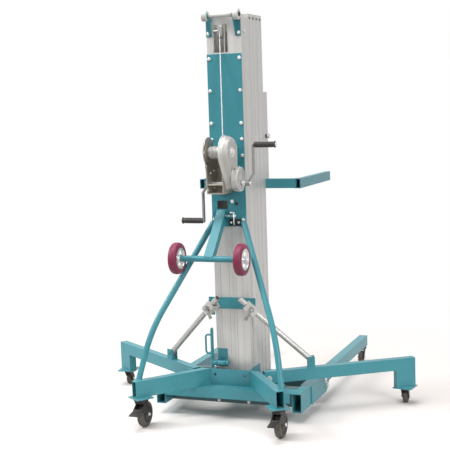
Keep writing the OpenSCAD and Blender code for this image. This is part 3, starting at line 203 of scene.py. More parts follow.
def make_dust():
    """Site dust: more near the floor and on faces that look up."""
    tree, given, out = effect("dust", [("Height", 0.3), ("Amount", 0.4)], [("Dust", "NodeSocketFloat")])
    where = tree.put("ShaderNodeSeparateXYZ")
    tree.feed(where.inputs[0], tree.place())
    low = tree.between(where.outputs[2], 0.0, given["Height"], 1.0, 0.0)
    facing = tree.put("ShaderNodeSeparateXYZ")
    tree.feed(facing.inputs[0], tree.put("ShaderNodeNewGeometry").outputs["Normal"])
    top = tree.between(facing.outputs[2], 0.2, 1.0, 0.25, 1.0)
    cloud = tree.between(tree.noise(tree.place(), 28.0, 5.0), 0.42, 0.72)
    both = tree.apply("MULTIPLY", tree.apply("MULTIPLY", low, top), cloud)
    tree.feed(out["Dust"], tree.apply("MULTIPLY", both, given["Amount"], clamp=True))


for make in (make_edge_wear, make_mottle, make_drawn_lines, make_spangle, make_dust):
    make()
DUST_COLOUR = (0.46, 0.42, 0.37, 1.0)


class Finish:
    """One material: a Principled shader, with the shared effects placed round it."""

    def __init__(self, name, metallic=0.0, specular=0.5, coat=0.0):
        self.material = bpy.data.materials.new(name)
        self.material.use_nodes = True
        self.tree = Tree(self.material.node_tree)
        self.shader = self.material.node_tree.nodes["Principled BSDF"]
        self.shader.inputs["Metallic"].default_value = metallic
        self.shader.inputs["Specular IOR Level"].default_value = specular
        self.shader.inputs["Coat Weight"].default_value = coat
        self.shader.inputs["Coat Roughness"].default_value = 0.2

    def use(self, name, **values):
        node = self.tree.put("ShaderNodeGroup", node_tree=bpy.data.node_groups[name])
        for label, value in values.items():
            self.tree.feed(node.inputs[label], value)
        return node.outputs

    def end(self, colour, roughness, height, depth, strength, normal):
        bump = self.tree.put("ShaderNodeBump")
        bump.inputs["Strength"].default_value = strength
        bump.inputs["Distance"].default_value = depth
        self.tree.feed(bump.inputs["Height"], height)
        self.tree.feed(bump.inputs["Normal"], normal)
        for label, value in (("Base Color", colour), ("Roughness", roughness), ("Normal", bump.outputs[0])):
            self.tree.feed(self.shader.inputs[label], value)
        return self.material


def rgb(red, green, blue):
    return (red, green, blue, 1.0)


def sprayed_paint(name, colour, shade, bare, dust=0.35):
    """Gloss enamel over primer: slight colour drift, orange peel, bright chips on the corners."""
    paint = Finish(name, specular=0.4, coat=0.15)
    drift = paint.use("mottle", Broad=5.0, Fine=110.0, Grain=520.0)
    edge = paint.use("edge_wear", Radius=0.0022, Amount=0.55, Scale=70.0)
    dirt = paint.use("dust", Height=0.28, Amount=dust)
    tone = paint.tree.mix(drift["Blotch"], colour, shade)
    tone = paint.tree.mix(edge["Wear"], tone, bare)
    tone = paint.tree.mix(dirt["Dust"], tone, DUST_COLOUR)
    rough = paint.tree.between(drift["Speck"], 0.0, 1.0, 0.36, 0.46)
    rough = paint.tree.apply("ADD", rough, paint.tree.apply("MULTIPLY", dirt["Dust"], 0.4), clamp=True)
    return paint.end(tone, rough, drift["Height"], 0.0003, 0.14, edge["Normal"])


def drawn_alloy(name, light, dark):
    """Anodised extrusion with die lines along its length."""
    alloy = Finish(name, metallic=0.35, specular=0.5)
    lines = alloy.use("drawn_lines", Fineness=420.0)
    drift = alloy.use("mottle", Broad=3.0, Fine=40.0, Grain=900.0)
    edge = alloy.use("edge_wear", Radius=0.0014, Amount=0.7, Scale=90.0)
    tone = alloy.tree.mix(lines["Bands"], light, dark)
    tone = alloy.tree.mix(alloy.tree.apply("MULTIPLY", drift["Blotch"], 0.3), tone, dark)
    tone = alloy.tree.mix(edge["Wear"], tone, rgb(0.8, 0.8, 0.8))
    rough = alloy.tree.between(lines["Lines"], 0.2, 0.8, 0.36, 0.5)
    return alloy.end(tone, rough, lines["Lines"], 0.0002, 0.22, edge["Normal"])


def plated_steel(name, light, dark, metallic, low, high, flake, grime=0.0):
    """Zinc over steel: crystal flakes, a little grime and polished corners."""
    zinc = Finish(name, metallic=metallic)
    coat = zinc.use("spangle", Scale=flake)
    drift = zinc.use("mottle", Broad=14.0, Fine=160.0, Grain=1100.0)
    edge = zinc.use("edge_wear", Radius=0.0012, Amount=0.7, Scale=120.0)
    tone = zinc.tree.mix(coat["Flake"], light, dark)
    tone = zinc.tree.mix(edge["Wear"], tone, rgb(0.85, 0.85, 0.84))
    if grime:
        tone = zinc.tree.mix(zinc.tree.apply("MULTIPLY", drift["Blotch"], grime), tone, rgb(0.12, 0.11, 0.09))
    rough = zinc.tree.between(drift["Speck"], 0.0, 1.0, low, high)
    return zinc.end(tone, rough, drift["Height"], 0.0002, 0.15, edge["Normal"])


def moulded(name, colour, shade, low, high, grain, depth, dust=0.0, specular=0.45):
    """Plastic or rubber from a mould: fine grain, uneven sheen, paler where it is rubbed."""
    body = Finish(name, specular=specular)
    drift = body.use("mottle", Broad=18.0, Fine=220.0, Grain=grain)
    edge = body.use("edge_wear", Radius=0.0015, Amount=0.5, Scale=110.0)
    tone = body.tree.mix(drift["Blotch"], colour, shade)
    pale = tuple(min(1.0, part * 1.6 + 0.03) for part in colour[:3]) + (1.0,)
    tone = body.tree.mix(edge["Wear"], tone, pale)
    if dust:
        dirt = body.use("dust", Height=0.2, Amount=dust)
        tone = body.tree.mix(dirt["Dust"], tone, DUST_COLOUR)
    rough = body.tree.between(drift["Speck"], 0.0, 1.0, low, high)
    return body.end(tone, rough, drift["Height"], depth, 0.35, edge["Normal"])


TEAL = sprayed_paint("teal_enamel", rgb(0.052, 0.285, 0.335), rgb(0.042, 0.248, 0.295), rgb(0.26, 0.46, 0.49))
# Darker copy of the teal enamel for the cross tubes: painted shade, standing in for the shadow under the base's rear
# channel.
TEAL_PAINTED_SHADE = sprayed_paint("teal_painted_shade_enamel", rgb(0.030, 0.118, 0.134), rgb(0.021, 0.076, 0.085), rgb(0.08, 0.21, 0.22),
                       0.12)
ALLOY = drawn_alloy("mast_alloy", rgb(0.70, 0.69, 0.67), rgb(0.575, 0.56, 0.54))
CAST = plated_steel("cover_alloy", rgb(0.66, 0.65, 0.62), rgb(0.60, 0.59, 0.56), 0.45, 0.34, 0.5, 420.0)
# Darker copy of the cover alloy for the cover's chamfer and +X end face: partly the face's own darker tone, partly
# painted shade on that side.
FACE = plated_steel("cover_face_alloy_painted_shade", rgb(0.54, 0.525, 0.495), rgb(0.47, 0.46, 0.435), 0.4, 0.36, 0.52, 420.0)
# Darker copy of the cover alloy for the brake: painted shade on its end plate and in the gaps between its ribs.
BRAKE_PLATE_PAINTED_SHADE = plated_steel("brake_plate_painted_shade", rgb(0.55, 0.54, 0.515), rgb(0.47, 0.46, 0.44), 0.4, 0.36, 0.52, 420.0)
ZINC = plated_steel("galvanised", rgb(0.60, 0.59, 0.56), rgb(0.47, 0.46, 0.44), 0.6, 0.32, 0.5, 120.0, 0.12)
WINCH = plated_steel("winch_zinc", rgb(0.52, 0.485, 0.425), rgb(0.39, 0.36, 0.31), 0.5, 0.34, 0.52, 110.0, 0.3)
BRIGHT = plated_steel("bright_steel", rgb(0.78, 0.78, 0.77), rgb(0.68, 0.68, 0.68), 0.75, 0.22, 0.36, 260.0)
ROPE = plated_steel("cable_steel", rgb(0.74, 0.75, 0.74), rgb(0.60, 0.61, 0.60), 0.6, 0.3, 0.45, 500.0)
# Lighter copy of the cable steel for the turns on the drum: painted light, making up for the shade under the gear
# cover.
WOUND_PAINTED_LIGHT = plated_steel("wound_cable_steel_painted_light", rgb(0.78, 0.77, 0.75), rgb(0.60, 0.59, 0.57), 0.55, 0.3, 0.46, 500.0)
DARK = plated_steel("dark_steel", rgb(0.018, 0.0165, 0.015), rgb(0.011, 0.0102, 0.0095), 0.2, 0.42, 0.6, 200.0)
CRANK = plated_steel("crank_steel", rgb(0.36, 0.345, 0.325), rgb(0.26, 0.25, 0.235), 0.5, 0.32, 0.5, 160.0)
WHITE = moulded("white_nylon", rgb(0.76, 0.75, 0.715), rgb(0.67, 0.66, 0.625), 0.32, 0.48, 600.0, 0.0002)
MAROON = moulded("maroon_rubber", rgb(0.255, 0.034, 0.082), rgb(0.195, 0.025, 0.060), 0.36, 0.52, 420.0, 0.0003,
                 specular=0.35)
GRIP = moulded("grip_plastic", rgb(0.040, 0.036, 0.033), rgb(0.026, 0.024, 0.022), 0.38, 0.56, 500.0, 0.0003)
TYRE = moulded("caster_tyre", rgb(0.088, 0.076, 0.064), rgb(0.055, 0.048, 0.041), 0.5, 0.68, 380.0, 0.0004,
               dust=0.5, specular=0.3)
HUB = plated_steel("hub_alloy", rgb(0.78, 0.78, 0.77), rgb(0.66, 0.66, 0.65), 0.7, 0.2, 0.32, 600.0)

BY_SLOT = {"teal_paint": TEAL, "mast_alloy": ALLOY, "cast_alloy": CAST, "galvanised": ZINC, "bright_steel": BRIGHT,
           "dark_steel": DARK, "white_plastic": WHITE, "maroon_rubber": MAROON, "black_plastic": GRIP,
           "black_rubber": TYRE}
# The cross tubes take the teal enamel with painted shade.
BY_NODE = {"crank_arms": CRANK, "clamp_lever_left": CRANK, "clamp_lever_right": CRANK, "cross_tubes": TEAL_PAINTED_SHADE,
           "hoist_cable": ROPE, "drum_cable": WOUND_PAINTED_LIGHT, "winch_frame": WINCH, "cable_drum": WINCH,
           "mast_brackets": CAST, "hold_down_lever": TEAL}


def finish_solids():
    """Gives every solid its finish, by node where one is listed and by slot otherwise."""
    for part in frame["record"]["subparts"]:
        solid = frame["nodes"][part["node"]]
        material = BY_NODE.get(part["node"], BY_SLOT[part["material_slot"]])
        if not solid.material_slots:
            solid.data.materials.append(material)
        for holder in solid.material_slots:
            holder.material = material


finish_solids()


# Mesh building

def ring_frame(axis):
    """Two directions across an axis."""
    axis = axis.normalized()
    across = axis.cross(Z_AXIS if abs(axis.z) < 0.9 else X_AXIS).normalized()
    return across, axis.cross(across)


def circle(middle, across, over, radius, count):
    """Points round a circle, from one direction across its axis toward the other."""
    return [middle + (across * math.cos(math.tau * k / count) + over * math.sin(math.tau * k / count)) * radius
            for k in range(count)]


def carried(path):
    """Each point of a path with two directions across it that don't twist, and the length so far."""
    across = None
    run = 0.0
    frames = []
    for i, point in enumerate(path):
        line = (path[min(i + 1, len(path) - 1)] - path[max(i - 1, 0)]).normalized()
        if across is None:
            across = ring_frame(line)[0]
        across = (across - line * across.dot(line)).normalized()
        if i:
            run += (point - path[i - 1]).length
        frames.append((point, across, line.cross(across), run))
    return frames


def add_rings(mesh, rings, closed=False):
    """Skins a list of rings, each a list of drawing points; a ring of one point closes to a tip."""
    made = [[mesh.verts.new(at(point)) for point in ring] for ring in rings]
    pairs = list(zip(made, made[1:])) + ([(made[-1], made[0])] if closed else [])
    for low, high in pairs:
        count = max(len(low), len(high))
        for i in range(count):
            j = (i + 1) % count
            corners = [low[i % len(low)], low[j % len(low)], high[j % len(high)], high[i % len(high)]]
            corners = [v for k, v in enumerate(corners) if v not in corners[:k]]
            if len(corners) > 2:
                mesh.faces.new(corners)
    if not closed:
        for end in (made[0], made[-1]):
            if len(end) > 2:
                mesh.faces.new(end)


def add_lathe(mesh, origin, axis, profile, turns, closed=False):
    """Turns (along, radius) points about an axis through origin."""
    origin = Vector(origin)
    across, over = ring_frame(axis)
    rings = []
    for along, radius in profile:
        middle = origin + axis * along
        rings.append(circle(middle, across, over, radius, turns) if radius else [middle])
    add_rings(mesh, rings, closed)


def add_hex(mesh, origin, axis, flat_r, height, chamfer):
    """A hexagon head or nut, chamfered on its outer face."""
    corner = flat_r / math.cos(math.pi / 6)
    add_lathe(mesh, origin, axis, [(0, corner), (height - chamfer, corner), (height, corner - 1.6 * chamfer)], 6)


def add_button(mesh, origin, axis, radius, height, socket=0.42):
    """A button head with a hexagon socket."""
    sides = 24
    across, over = ring_frame(axis)
    origin = Vector(origin)
    arc = [(height * math.sin(a), radius * (0.30 + 0.70 * math.cos(a))) for a in (0.0, 0.35, 0.7, 1.0, 1.25)]
    rings = [circle(origin + axis * along, across, over, r, sides) for along, r in [(0, radius)] + arc]
    flat = radius * socket * math.cos(math.pi / 6)
    for depth in (height * 0.96, height * 0.45):
        ring = []
        for angle in (math.tau * k / sides for k in range(sides)):
            reach = flat / math.cos((angle + math.pi / 6) % (math.pi / 3) - math.pi / 6)
            ring.append(origin + axis * depth + (across * math.cos(angle) + over * math.sin(angle)) * reach)
        rings.append(ring)
    add_rings(mesh, rings)


def add_tube(mesh, path, radius, sides, ripple=0.0, pitch=4.0):
    """A round bar along a path, with a ripple for a weld bead."""
    add_rings(mesh, [circle(point, across, over, radius * (1 + ripple * math.sin(math.tau * run / pitch)), sides)
                     for point, across, over, run in carried(path)])


def even_path(path, step):
    """The same path with points about one step apart."""
    path = [Vector(point) for point in path]
    made = [path[0]]
    for start, end in zip(path, path[1:]):
        count = max(1, round((end - start).length / step))
        made += [start.lerp(end, (k + 1) / count) for k in range(count)]
    return made


def add_bead(mesh, path, radius=2.4):
    """A weld bead along a seam."""
    add_tube(mesh, even_path(path, 1.4), radius, 8, 0.13, 5.0)


def add_block(mesh, low, high, soft):
    """A plate or block with softened edges, drawn between two corners."""
    made = bmesh.ops.create_cube(mesh, size=1.0)["verts"]
    for vert in made:
        vert.co = at([low[k] if vert.co[k] < 0 else high[k] for k in range(3)])
    edges = list({edge for vert in made for edge in vert.link_edges})
    bmesh.ops.bevel(mesh, geom=edges, offset=soft * 0.001, segments=2, profile=0.6, affect="EDGES")


def piece(name, mesh, material, body, replaces=(), sharp=38.0):
    """Makes one piece from a mesh, in place, riding on its body."""
    bmesh.ops.recalc_face_normals(mesh, faces=mesh.faces)
    for face in mesh.faces:
        face.smooth = True
    for edge in mesh.edges:
        if len(edge.link_faces) == 2 and edge.calc_face_angle(0.0) > math.radians(sharp):
            edge.smooth = False
    data = bpy.data.meshes.new(name)
    mesh.to_mesh(data)
    mesh.free()
    data.materials.append(material)
    made = bpy.data.objects.new(name, data)
    bpy.context.scene.collection.objects.link(made)
    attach(made, body)
    if replaces:
        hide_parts(*replaces)


# Places that several pieces share

SIDES = (("left", -1), ("right", 1))
PANEL_FACE = -6
ARM_PIVOT = Vector((200, -48, 210))
ARM_YAW = math.radians(36.3)
ARM_REACH = 729
ARM_PIN_TURN = math.radians(22.91)
LEG_SPLAY = math.radians(54)
STAY_POINTS = ((80, -14.2, 976), (320, -288, 470), (366, -353, 238))
DRUM_AXIS = Vector((0, -125, 1326))
CRANK_AXIS = Vector((0, -85, 1175.215))
BRAKE_AXIS = Vector((0, -85, 1194.215))
GEAR_REACH = 156
GEAR_TILT = math.radians(14.857)


# Hoist cable: the wound turns, and the run over the sheave

SHEAVE = Vector((-24, 36, 1915))
WIND_R = 28.3
GROOVE_R = 30
CABLE_R = 3.0
CABLE_LAY = 34.0
STRANDS = 6
WIND_PITCH = 6.9
WIND_TURNS = 8
WIND_END_X = 14.5
TURN_STEPS = 40


def cable_angle():
    """The lean of the straight run."""
    reach = SHEAVE - DRUM_AXIS
    return math.atan2(reach.z, reach.y) + math.asin((WIND_R + GROOVE_R) / math.hypot(reach.y, reach.z))


def straight_run():
    """The two ends of the run between the drum and the sheave."""
    lead = cable_angle()
    low = Vector((WIND_END_X, DRUM_AXIS.y + WIND_R * math.sin(lead), DRUM_AXIS.z - WIND_R * math.cos(lead)))
    high = SHEAVE + Vector((0, -math.sin(lead), math.cos(lead))) * GROOVE_R
    return low + (high - low).normalized() * 2 * CABLE_R, high


def wound_path():
    """The turns on the drum, from the far end to the start of the run."""
    lead = cable_angle()
    path = []
    for step in range(TURN_STEPS * WIND_TURNS + 1):
        left = WIND_TURNS - step / TURN_STEPS
        angle = lead - math.pi / 2 - math.tau * left
        across = WIND_END_X - WIND_PITCH * left
        path.append(DRUM_AXIS + Vector((across, WIND_R * math.cos(angle), WIND_R * math.sin(angle))))
    return path + [straight_run()[0]]


def run_path():
    """The run up to the sheave, over it and down into the mast."""
    lead = cable_angle()
    turn = [SHEAVE + Vector((0, math.cos(a), math.sin(a))) * GROOVE_R
            for a in ((lead + math.pi / 2) * (1 - k / 24) for k in range(25))]
    return [straight_run()[0]] + turn + [SHEAVE + Vector((0, GROOVE_R, -160))]


def add_strands(mesh, path):
    """Strands laid round a core, as thick over all as the cable."""
    path = even_path(path, 2.6)
    frames = carried(path)
    for strand in range(STRANDS):
        centre_line = []
        for point, across, over, run in frames:
            angle = math.tau * (strand / STRANDS + run / CABLE_LAY)
            centre_line.append(point + (across * math.cos(angle) + over * math.sin(angle)) * CABLE_R * 0.64)
        add_tube(mesh, centre_line, CABLE_R * 0.36, 6)
    add_tube(mesh, path, CABLE_R * 0.55, 6)


def lay_cables():
    """The turns ride on the drum, and the run stays on the base."""
    mesh = bmesh.new()
    add_strands(mesh, wound_path())
    # The turns take the lighter cable steel, painted light against the cover's shade.
    piece("wound_cable", mesh, WOUND_PAINTED_LIGHT, "drum", ["drum_cable"], 80.0)
    mesh = bmesh.new()
    add_strands(mesh, run_path())
    piece("cable_run", mesh, ROPE, "base", ["hoist_cable"], 80.0)


lay_cables()


# Loading wheels

AXLE = Vector((-34, -207.367, 817.551))
LOAD_TRACK = 336


def loading_wheel(side_name, sign):
    """A solid tyre on a fluted hub."""
    centre = AXLE + X_AXIS * sign * LOAD_TRACK / 2
    node = "loading_wheel_" + side_name
    profile = []
    for k in range(13):
        angle = math.pi * (k / 12 - 0.5)
        along = math.copysign(abs(math.sin(angle)) ** 0.75, angle) * 20.5
        profile.append((along, 61.5 + 16.5 * math.cos(angle) ** 0.55))
    side_wall = [(21.6, 60.0), (21.8, 57.5), (20.6, 56.4), (20.6, 54.6), (19.4, 53.6), (16.0, 53.2)]
    profile = [(-along, radius) for along, radius in reversed(side_wall)] + profile + side_wall
    mesh = bmesh.new()
    add_lathe(mesh, centre, X_AXIS, profile, 72, closed=True)
    piece(node + "_tyre", mesh, MAROON, node, [node], 50.0)

    mesh = bmesh.new()
    turns = 160
    radii = [9.2, 17.0, 17.4, 19.0, 21.0, 24.0, 30.0, 37.0, 43.0, 46.5, 48.0, 49.2, 52.8, 53.4]
    rings = []
    for face in (-1, 1):
        line = []
        for radius in radii:
            ring = []
            for k in range(turns):
                angle = math.tau * k / turns
                if radius <= 17.0:
                    out = 21.4
                elif radius >= 48.0:
                    out = 20.4 - (1.6 if radius > 53.0 else 0.0)
                else:
                    bowl = 12.5 + 3.5 * ((radius - 30.0) / 16.0) ** 2
                    swell = max(0.0, min(1.0, (radius - 18.0) / 5.0, (48.0 - radius) / 4.0))
                    out = bowl + 4.6 * swell * max(0.0, math.cos(10 * angle)) ** 0.8
                spoke = Y_AXIS * math.cos(angle) + Z_AXIS * math.sin(angle)
                ring.append(centre + X_AXIS * face * out + spoke * radius)
            line.append(ring)
        rings += line if face < 0 else reversed(line)
    add_rings(mesh, rings, closed=True)
    piece(node + "_hub", mesh, HUB, node, (), 42.0)

    mesh = bmesh.new()
    out = centre + X_AXIS * sign * 22.5
    add_lathe(mesh, out, X_AXIS * sign, [(0.0, 15.6), (1.8, 15.6), (1.8, 14.3)], 36)
    add_hex(mesh, out + X_AXIS * sign * 1.6, X_AXIS * sign, 14.2, 8.0, 1.6)
    add_lathe(mesh, out + X_AXIS * sign * 9.2, X_AXIS * sign, [(0, 8.0), (3.2, 8.0), (4.0, 7.0)], 24)
    piece("axle_nut_" + side_name, mesh, BRIGHT, "wheel_strut")


for name, sign in SIDES:
    loading_wheel(name, sign)


# Crank grips

def crank_grip(side_name, start, direction, rise):
    """A moulded grip with finger rings and an end stop, bored for its spindle."""
    profile = [(0.0, 6.2), (0.0, 12.4), (1.2, 13.7), (6.0, 14.1), (8.0, 13.1)]
    for k in range(14):
        begin = 10.0 + k * 6.2
        profile += [(begin, 13.1), (begin + 0.9, 14.2), (begin + 3.9, 14.2), (begin + 4.9, 13.1)]
    profile += [(101.5, 13.3), (103.0, 15.4), (104.6, 16.1), (108.4, 16.1), (109.8, 14.8), (110.0, 6.2)]
    origin = CRANK_AXIS + Vector((start, 0, rise))
    mesh = bmesh.new()
    add_lathe(mesh, origin, X_AXIS * direction, profile, 40, closed=True)
    node = "grip_" + side_name
    piece(node + "_moulding", mesh, GRIP, node, [node], 50.0)
    mesh = bmesh.new()
    add_lathe(mesh, origin + X_AXIS * direction * 110.3, X_AXIS * direction,
              [(0.0, 10.0), (1.4, 10.0), (1.6, 6.4), (3.4, 6.0), (4.2, 4.4), (4.4, 0.0)], 28)
    piece("spindle_end_" + side_name, mesh, BRIGHT, "crank")


crank_grip("right", 170, 1, 185)
crank_grip("left", -108, -1, -185)


# Bolt heads

def bolt_heads():
    """The panel's button heads, and the washers and nuts of the leg and arm hinges."""
    mesh = bmesh.new()
    for x in (-79, 79):
        for z in (1781.9, 1624.65, 1464.85, 1385.8, 1305.05):
            add_lathe(mesh, (x, PANEL_FACE, z), -Y_AXIS, [(0, 9.0), (0.8, 9.0), (1.0, 8.6)], 32)
            add_button(mesh, (x, PANEL_FACE - 0.8, z), -Y_AXIS, 8.25, 7.2)
        add_button(mesh, (x, -12, 988), -Y_AXIS, 8.3, 7.9)
        add_button(mesh, (math.copysign(80, x), -20, 66.5), -Y_AXIS, 8.6, 8.2)
    piece("panel_bolts", mesh, BRIGHT, "base")

    mesh = bmesh.new()
    for sign in (-1, 1):
        out = sign * 391.0
        for y, z in ((282, 122), (318, 87.7)):
            add_lathe(mesh, (out, y, z), X_AXIS * sign, [(0, 16.0), (1.8, 16.0), (1.8, 13.0)], 32)
            add_hex(mesh, (out + sign * 1.6, y, z), X_AXIS * sign, 13.1, 7.4, 1.5)
            add_hex(mesh, (sign * 330.6, y, z), -X_AXIS * sign, 11.5, 6.5, 1.3)
    piece("leg_hinge_nuts", mesh, BRIGHT, "base")

    mesh = bmesh.new()
    for sign in (-1, 1):
        axis = Vector((sign * math.sin(ARM_PIN_TURN), math.cos(ARM_PIN_TURN), 0))
        middle = Vector((sign * ARM_PIVOT.x, ARM_PIVOT.y, ARM_PIVOT.z))
        for end in (-1, 1):
            face = middle + axis * end * 35.5
            add_lathe(mesh, face, axis * end, [(0, 15.6), (1.8, 15.6), (1.8, 13.0)], 32)
            add_hex(mesh, face + axis * end * 1.6, axis * end, 13.1, 7.2, 1.5)
    piece("arm_hinge_nuts", mesh, BRIGHT, "base")


bolt_heads()


# Winch

def cover_outline(grow):
    """The gear cover's outline about the drum axis, leaning along the line of the gears."""
    steps = 40
    top_r, foot_r = 80 + grow, 32 + grow
    lean = math.asin((top_r - foot_r) / GEAR_REACH)
    points = []
    for radius, low, first, sweep in ((top_r, 0, -lean, math.pi + 2 * lean),
                                      (foot_r, -GEAR_REACH, math.pi + lean, math.pi - 2 * lean)):
        for k in range(steps + 1):
            angle = first + sweep * k / steps + GEAR_TILT
            points.append((radius * math.cos(angle) - low * math.sin(GEAR_TILT),
                           radius * math.sin(angle) + low * math.cos(GEAR_TILT)))
    return points


def cover_rings(profile):
    """The cover's outline at each (x, growth) of a profile."""
    return [[DRUM_AXIS + Vector((x, y, z)) for y, z in cover_outline(grow)] for x, grow in profile]


def gear_cover_trim():
    """The cover's bolted flange and raised border, its hub and its screws."""
    mesh = bmesh.new()
    flange = ((29.3, -1.0), (29.3, 4.2), (30.0, 5.0), (32.8, 5.0), (33.6, 4.2), (34.4, 1.6), (36.4, 0.5), (38.0, -1.0))
    border = ((69.4, -9.2), (71.2, -9.4), (71.9, -10.2), (71.9, -12.4), (71.2, -13.2), (69.4, -13.4))
    add_rings(mesh, cover_rings(flange), closed=True)
    add_rings(mesh, cover_rings(border), closed=True)
    piece("gear_cover_rim", mesh, CAST, "base")
    # The chamfer and end face take the darker cover alloy: part own tone, part painted shade.
    mesh = bmesh.new()
    add_rings(mesh, cover_rings(((51.2, -0.8), (51.2, 0.3), (52.2, 0.3), (69.9, -7.5), (70.4, -8.4))))
    piece("gear_cover_face", mesh, FACE, "base", (), 12.0)

    mesh = bmesh.new()
    add_lathe(mesh, DRUM_AXIS + X_AXIS * 70.1, X_AXIS,
              [(-1.0, 10.6), (0, 26.5), (1.6, 26.5), (2.4, 25.6), (2.6, 22.6), (5.0, 22.5), (6.3, 21.2), (6.3, 13.0),
               (5.0, 12.4), (5.0, 10.6)], 48, closed=True)
    piece("drum_hub_ring", mesh, BRIGHT, "base")
    mesh = bmesh.new()
    add_hex(mesh, DRUM_AXIS + X_AXIS * 76.6, X_AXIS, 12.0, 5.6, 1.2)
    add_lathe(mesh, DRUM_AXIS + X_AXIS * 81.8, X_AXIS, [(0, 7.6), (2.2, 7.6), (3.0, 6.6)], 28)
    piece("drum_shaft_nut", mesh, BRIGHT, "drum")

    mesh = bmesh.new()
    outline = cover_outline(-18.5)
    for k in (2, 12, 22, 32):
        y, z = outline[k]
        add_button(mesh, DRUM_AXIS + Vector((69.9, y, z)), X_AXIS, 4.4, 3.4)
    piece("cover_screws", mesh, BRIGHT, "base")


def brake_trim():
    """Cooling ribs round the brake with painted shade in the gaps between them, its dished end plate in a darker
    painted-shade copy of the alloy, and a near-black plug that paints the shade of its oil hole.
    """
    mesh = bmesh.new()
    profile = [(70.4, 55.0), (70.4, 59.4), (73.2, 59.4), (74.2, 58.3)]
    for begin in (77.0, 83.4, 89.8):
        profile += [(begin, 58.3), (begin + 0.8, 59.8), (begin + 2.8, 59.8), (begin + 3.6, 58.3)]
    profile += [(95.0, 58.3), (95.6, 59.4), (98.6, 59.4), (99.4, 58.6), (99.4, 53.2), (98.8, 52.2), (96.2, 51.8),
                (95.6, 55.0)]
    add_lathe(mesh, BRAKE_AXIS, X_AXIS, profile, 72, closed=True)
    piece("brake_ribs", mesh, CAST, "base", (), 60.0)
    # Darker rings sitting in the gaps between the ribs: painted shade in the grooves.
    mesh = bmesh.new()
    for begin in (74.3, 80.7, 87.1, 93.5):
        add_lathe(mesh, BRAKE_AXIS + X_AXIS * begin, X_AXIS, [(0, 57.0), (0, 58.5), (2.4, 58.5), (2.4, 57.0)], 72,
                  closed=True)
    piece("brake_rib_gap_painted_shade", mesh, BRAKE_PLATE_PAINTED_SHADE, "base")

    # The dished end plate in the darker alloy: painted shade on the face of the brake.
    mesh = bmesh.new()
    rings = []
    for middle, profile in ((BRAKE_AXIS, ((95.4, 51.4), (96.4, 51.4), (97.0, 50.4), (97.0, 40.0), (96.4, 38.6))),
                            (CRANK_AXIS, ((96.4, 22.0), (99.0, 20.4), (100.4, 17.0), (100.4, 10.0), (95.4, 9.6)))):
        rings += [circle(middle + X_AXIS * x, Y_AXIS, Z_AXIS, radius, 72) for x, radius in profile]
    add_rings(mesh, rings, closed=True)
    piece("brake_end_plate", mesh, BRAKE_PLATE_PAINTED_SHADE, "base", (), 60.0)

    mesh = bmesh.new()
    for k in range(3):
        angle = math.tau * (k / 3 + 0.25)
        screw = Vector((96.9, 45.2 * math.cos(angle), 45.2 * math.sin(angle)))
        add_button(mesh, BRAKE_AXIS + screw, X_AXIS, 3.8, 3.0)
    piece("brake_screws", mesh, BRIGHT, "base")

    # A near-black plug standing for the oil hole: painted shade of the hole's inside.
    mesh = bmesh.new()
    out = Vector((0, -0.5, 0.866))
    add_lathe(mesh, BRAKE_AXIS + X_AXIS * 78.6 + out * 57.0, out,
              [(0, 4.2), (3.6, 4.2), (4.2, 3.4), (3.4, 2.6), (3.4, 0)], 24)
    piece("brake_oil_hole_painted_shade", mesh, DARK, "base")


def winch_fasteners():
    """Cheek rivets, the bolts that hold the winch to its panel and the nuts of the crank."""
    mesh = bmesh.new()
    for y, z in ((-166, 1372), (-176, 1330), (-153, 1262), (-140, 1146), (-52, 1232), (-52, 1146)):
        for x, facing in ((-58, -1), (-53, 1)):
            add_lathe(mesh, (x, y, z), X_AXIS * facing,
                      [(0, 6.4), (0.8, 6.4), (2.0, 5.6), (2.9, 3.8), (3.3, 1.6), (3.3, 0)], 24)
    piece("winch_rivets", mesh, BRIGHT, "base")

    mesh = bmesh.new()
    for x, z in ((48, 1347), (62, 1246), (-70, 1347), (-70, 1246)):
        add_lathe(mesh, (x, PANEL_FACE, z), -Y_AXIS, [(0, 7.4), (1.4, 7.4), (1.4, 6.0)], 28)
        add_hex(mesh, (x, PANEL_FACE - 1.2, z), -Y_AXIS, 6.2, 5.0, 1.0)
    piece("winch_bolts", mesh, BRIGHT, "base")

    mesh = bmesh.new()
    add_hex(mesh, CRANK_AXIS + X_AXIS * 104, X_AXIS, 12.4, 8.4, 1.4)
    add_lathe(mesh, CRANK_AXIS + X_AXIS * 112.2, X_AXIS, [(0, 10.4), (9.4, 10.4), (10.4, 9.4)], 32)
    add_lathe(mesh, CRANK_AXIS + X_AXIS * 145.1, X_AXIS, [(0, 11.0), (1.6, 11.0), (1.8, 9.0)], 32)
    add_button(mesh, CRANK_AXIS + X_AXIS * 146.6, X_AXIS, 7.4, 5.0)
    add_lathe(mesh, CRANK_AXIS - X_AXIS * 83.1, -X_AXIS, [(0, 9.4), (1.2, 9.4), (1.8, 8.4), (1.8, 0)], 32)
    piece("crank_nuts", mesh, BRIGHT, "crank")


gear_cover_trim()
brake_trim()
winch_fasteners()


# Caster hubs and axle nuts

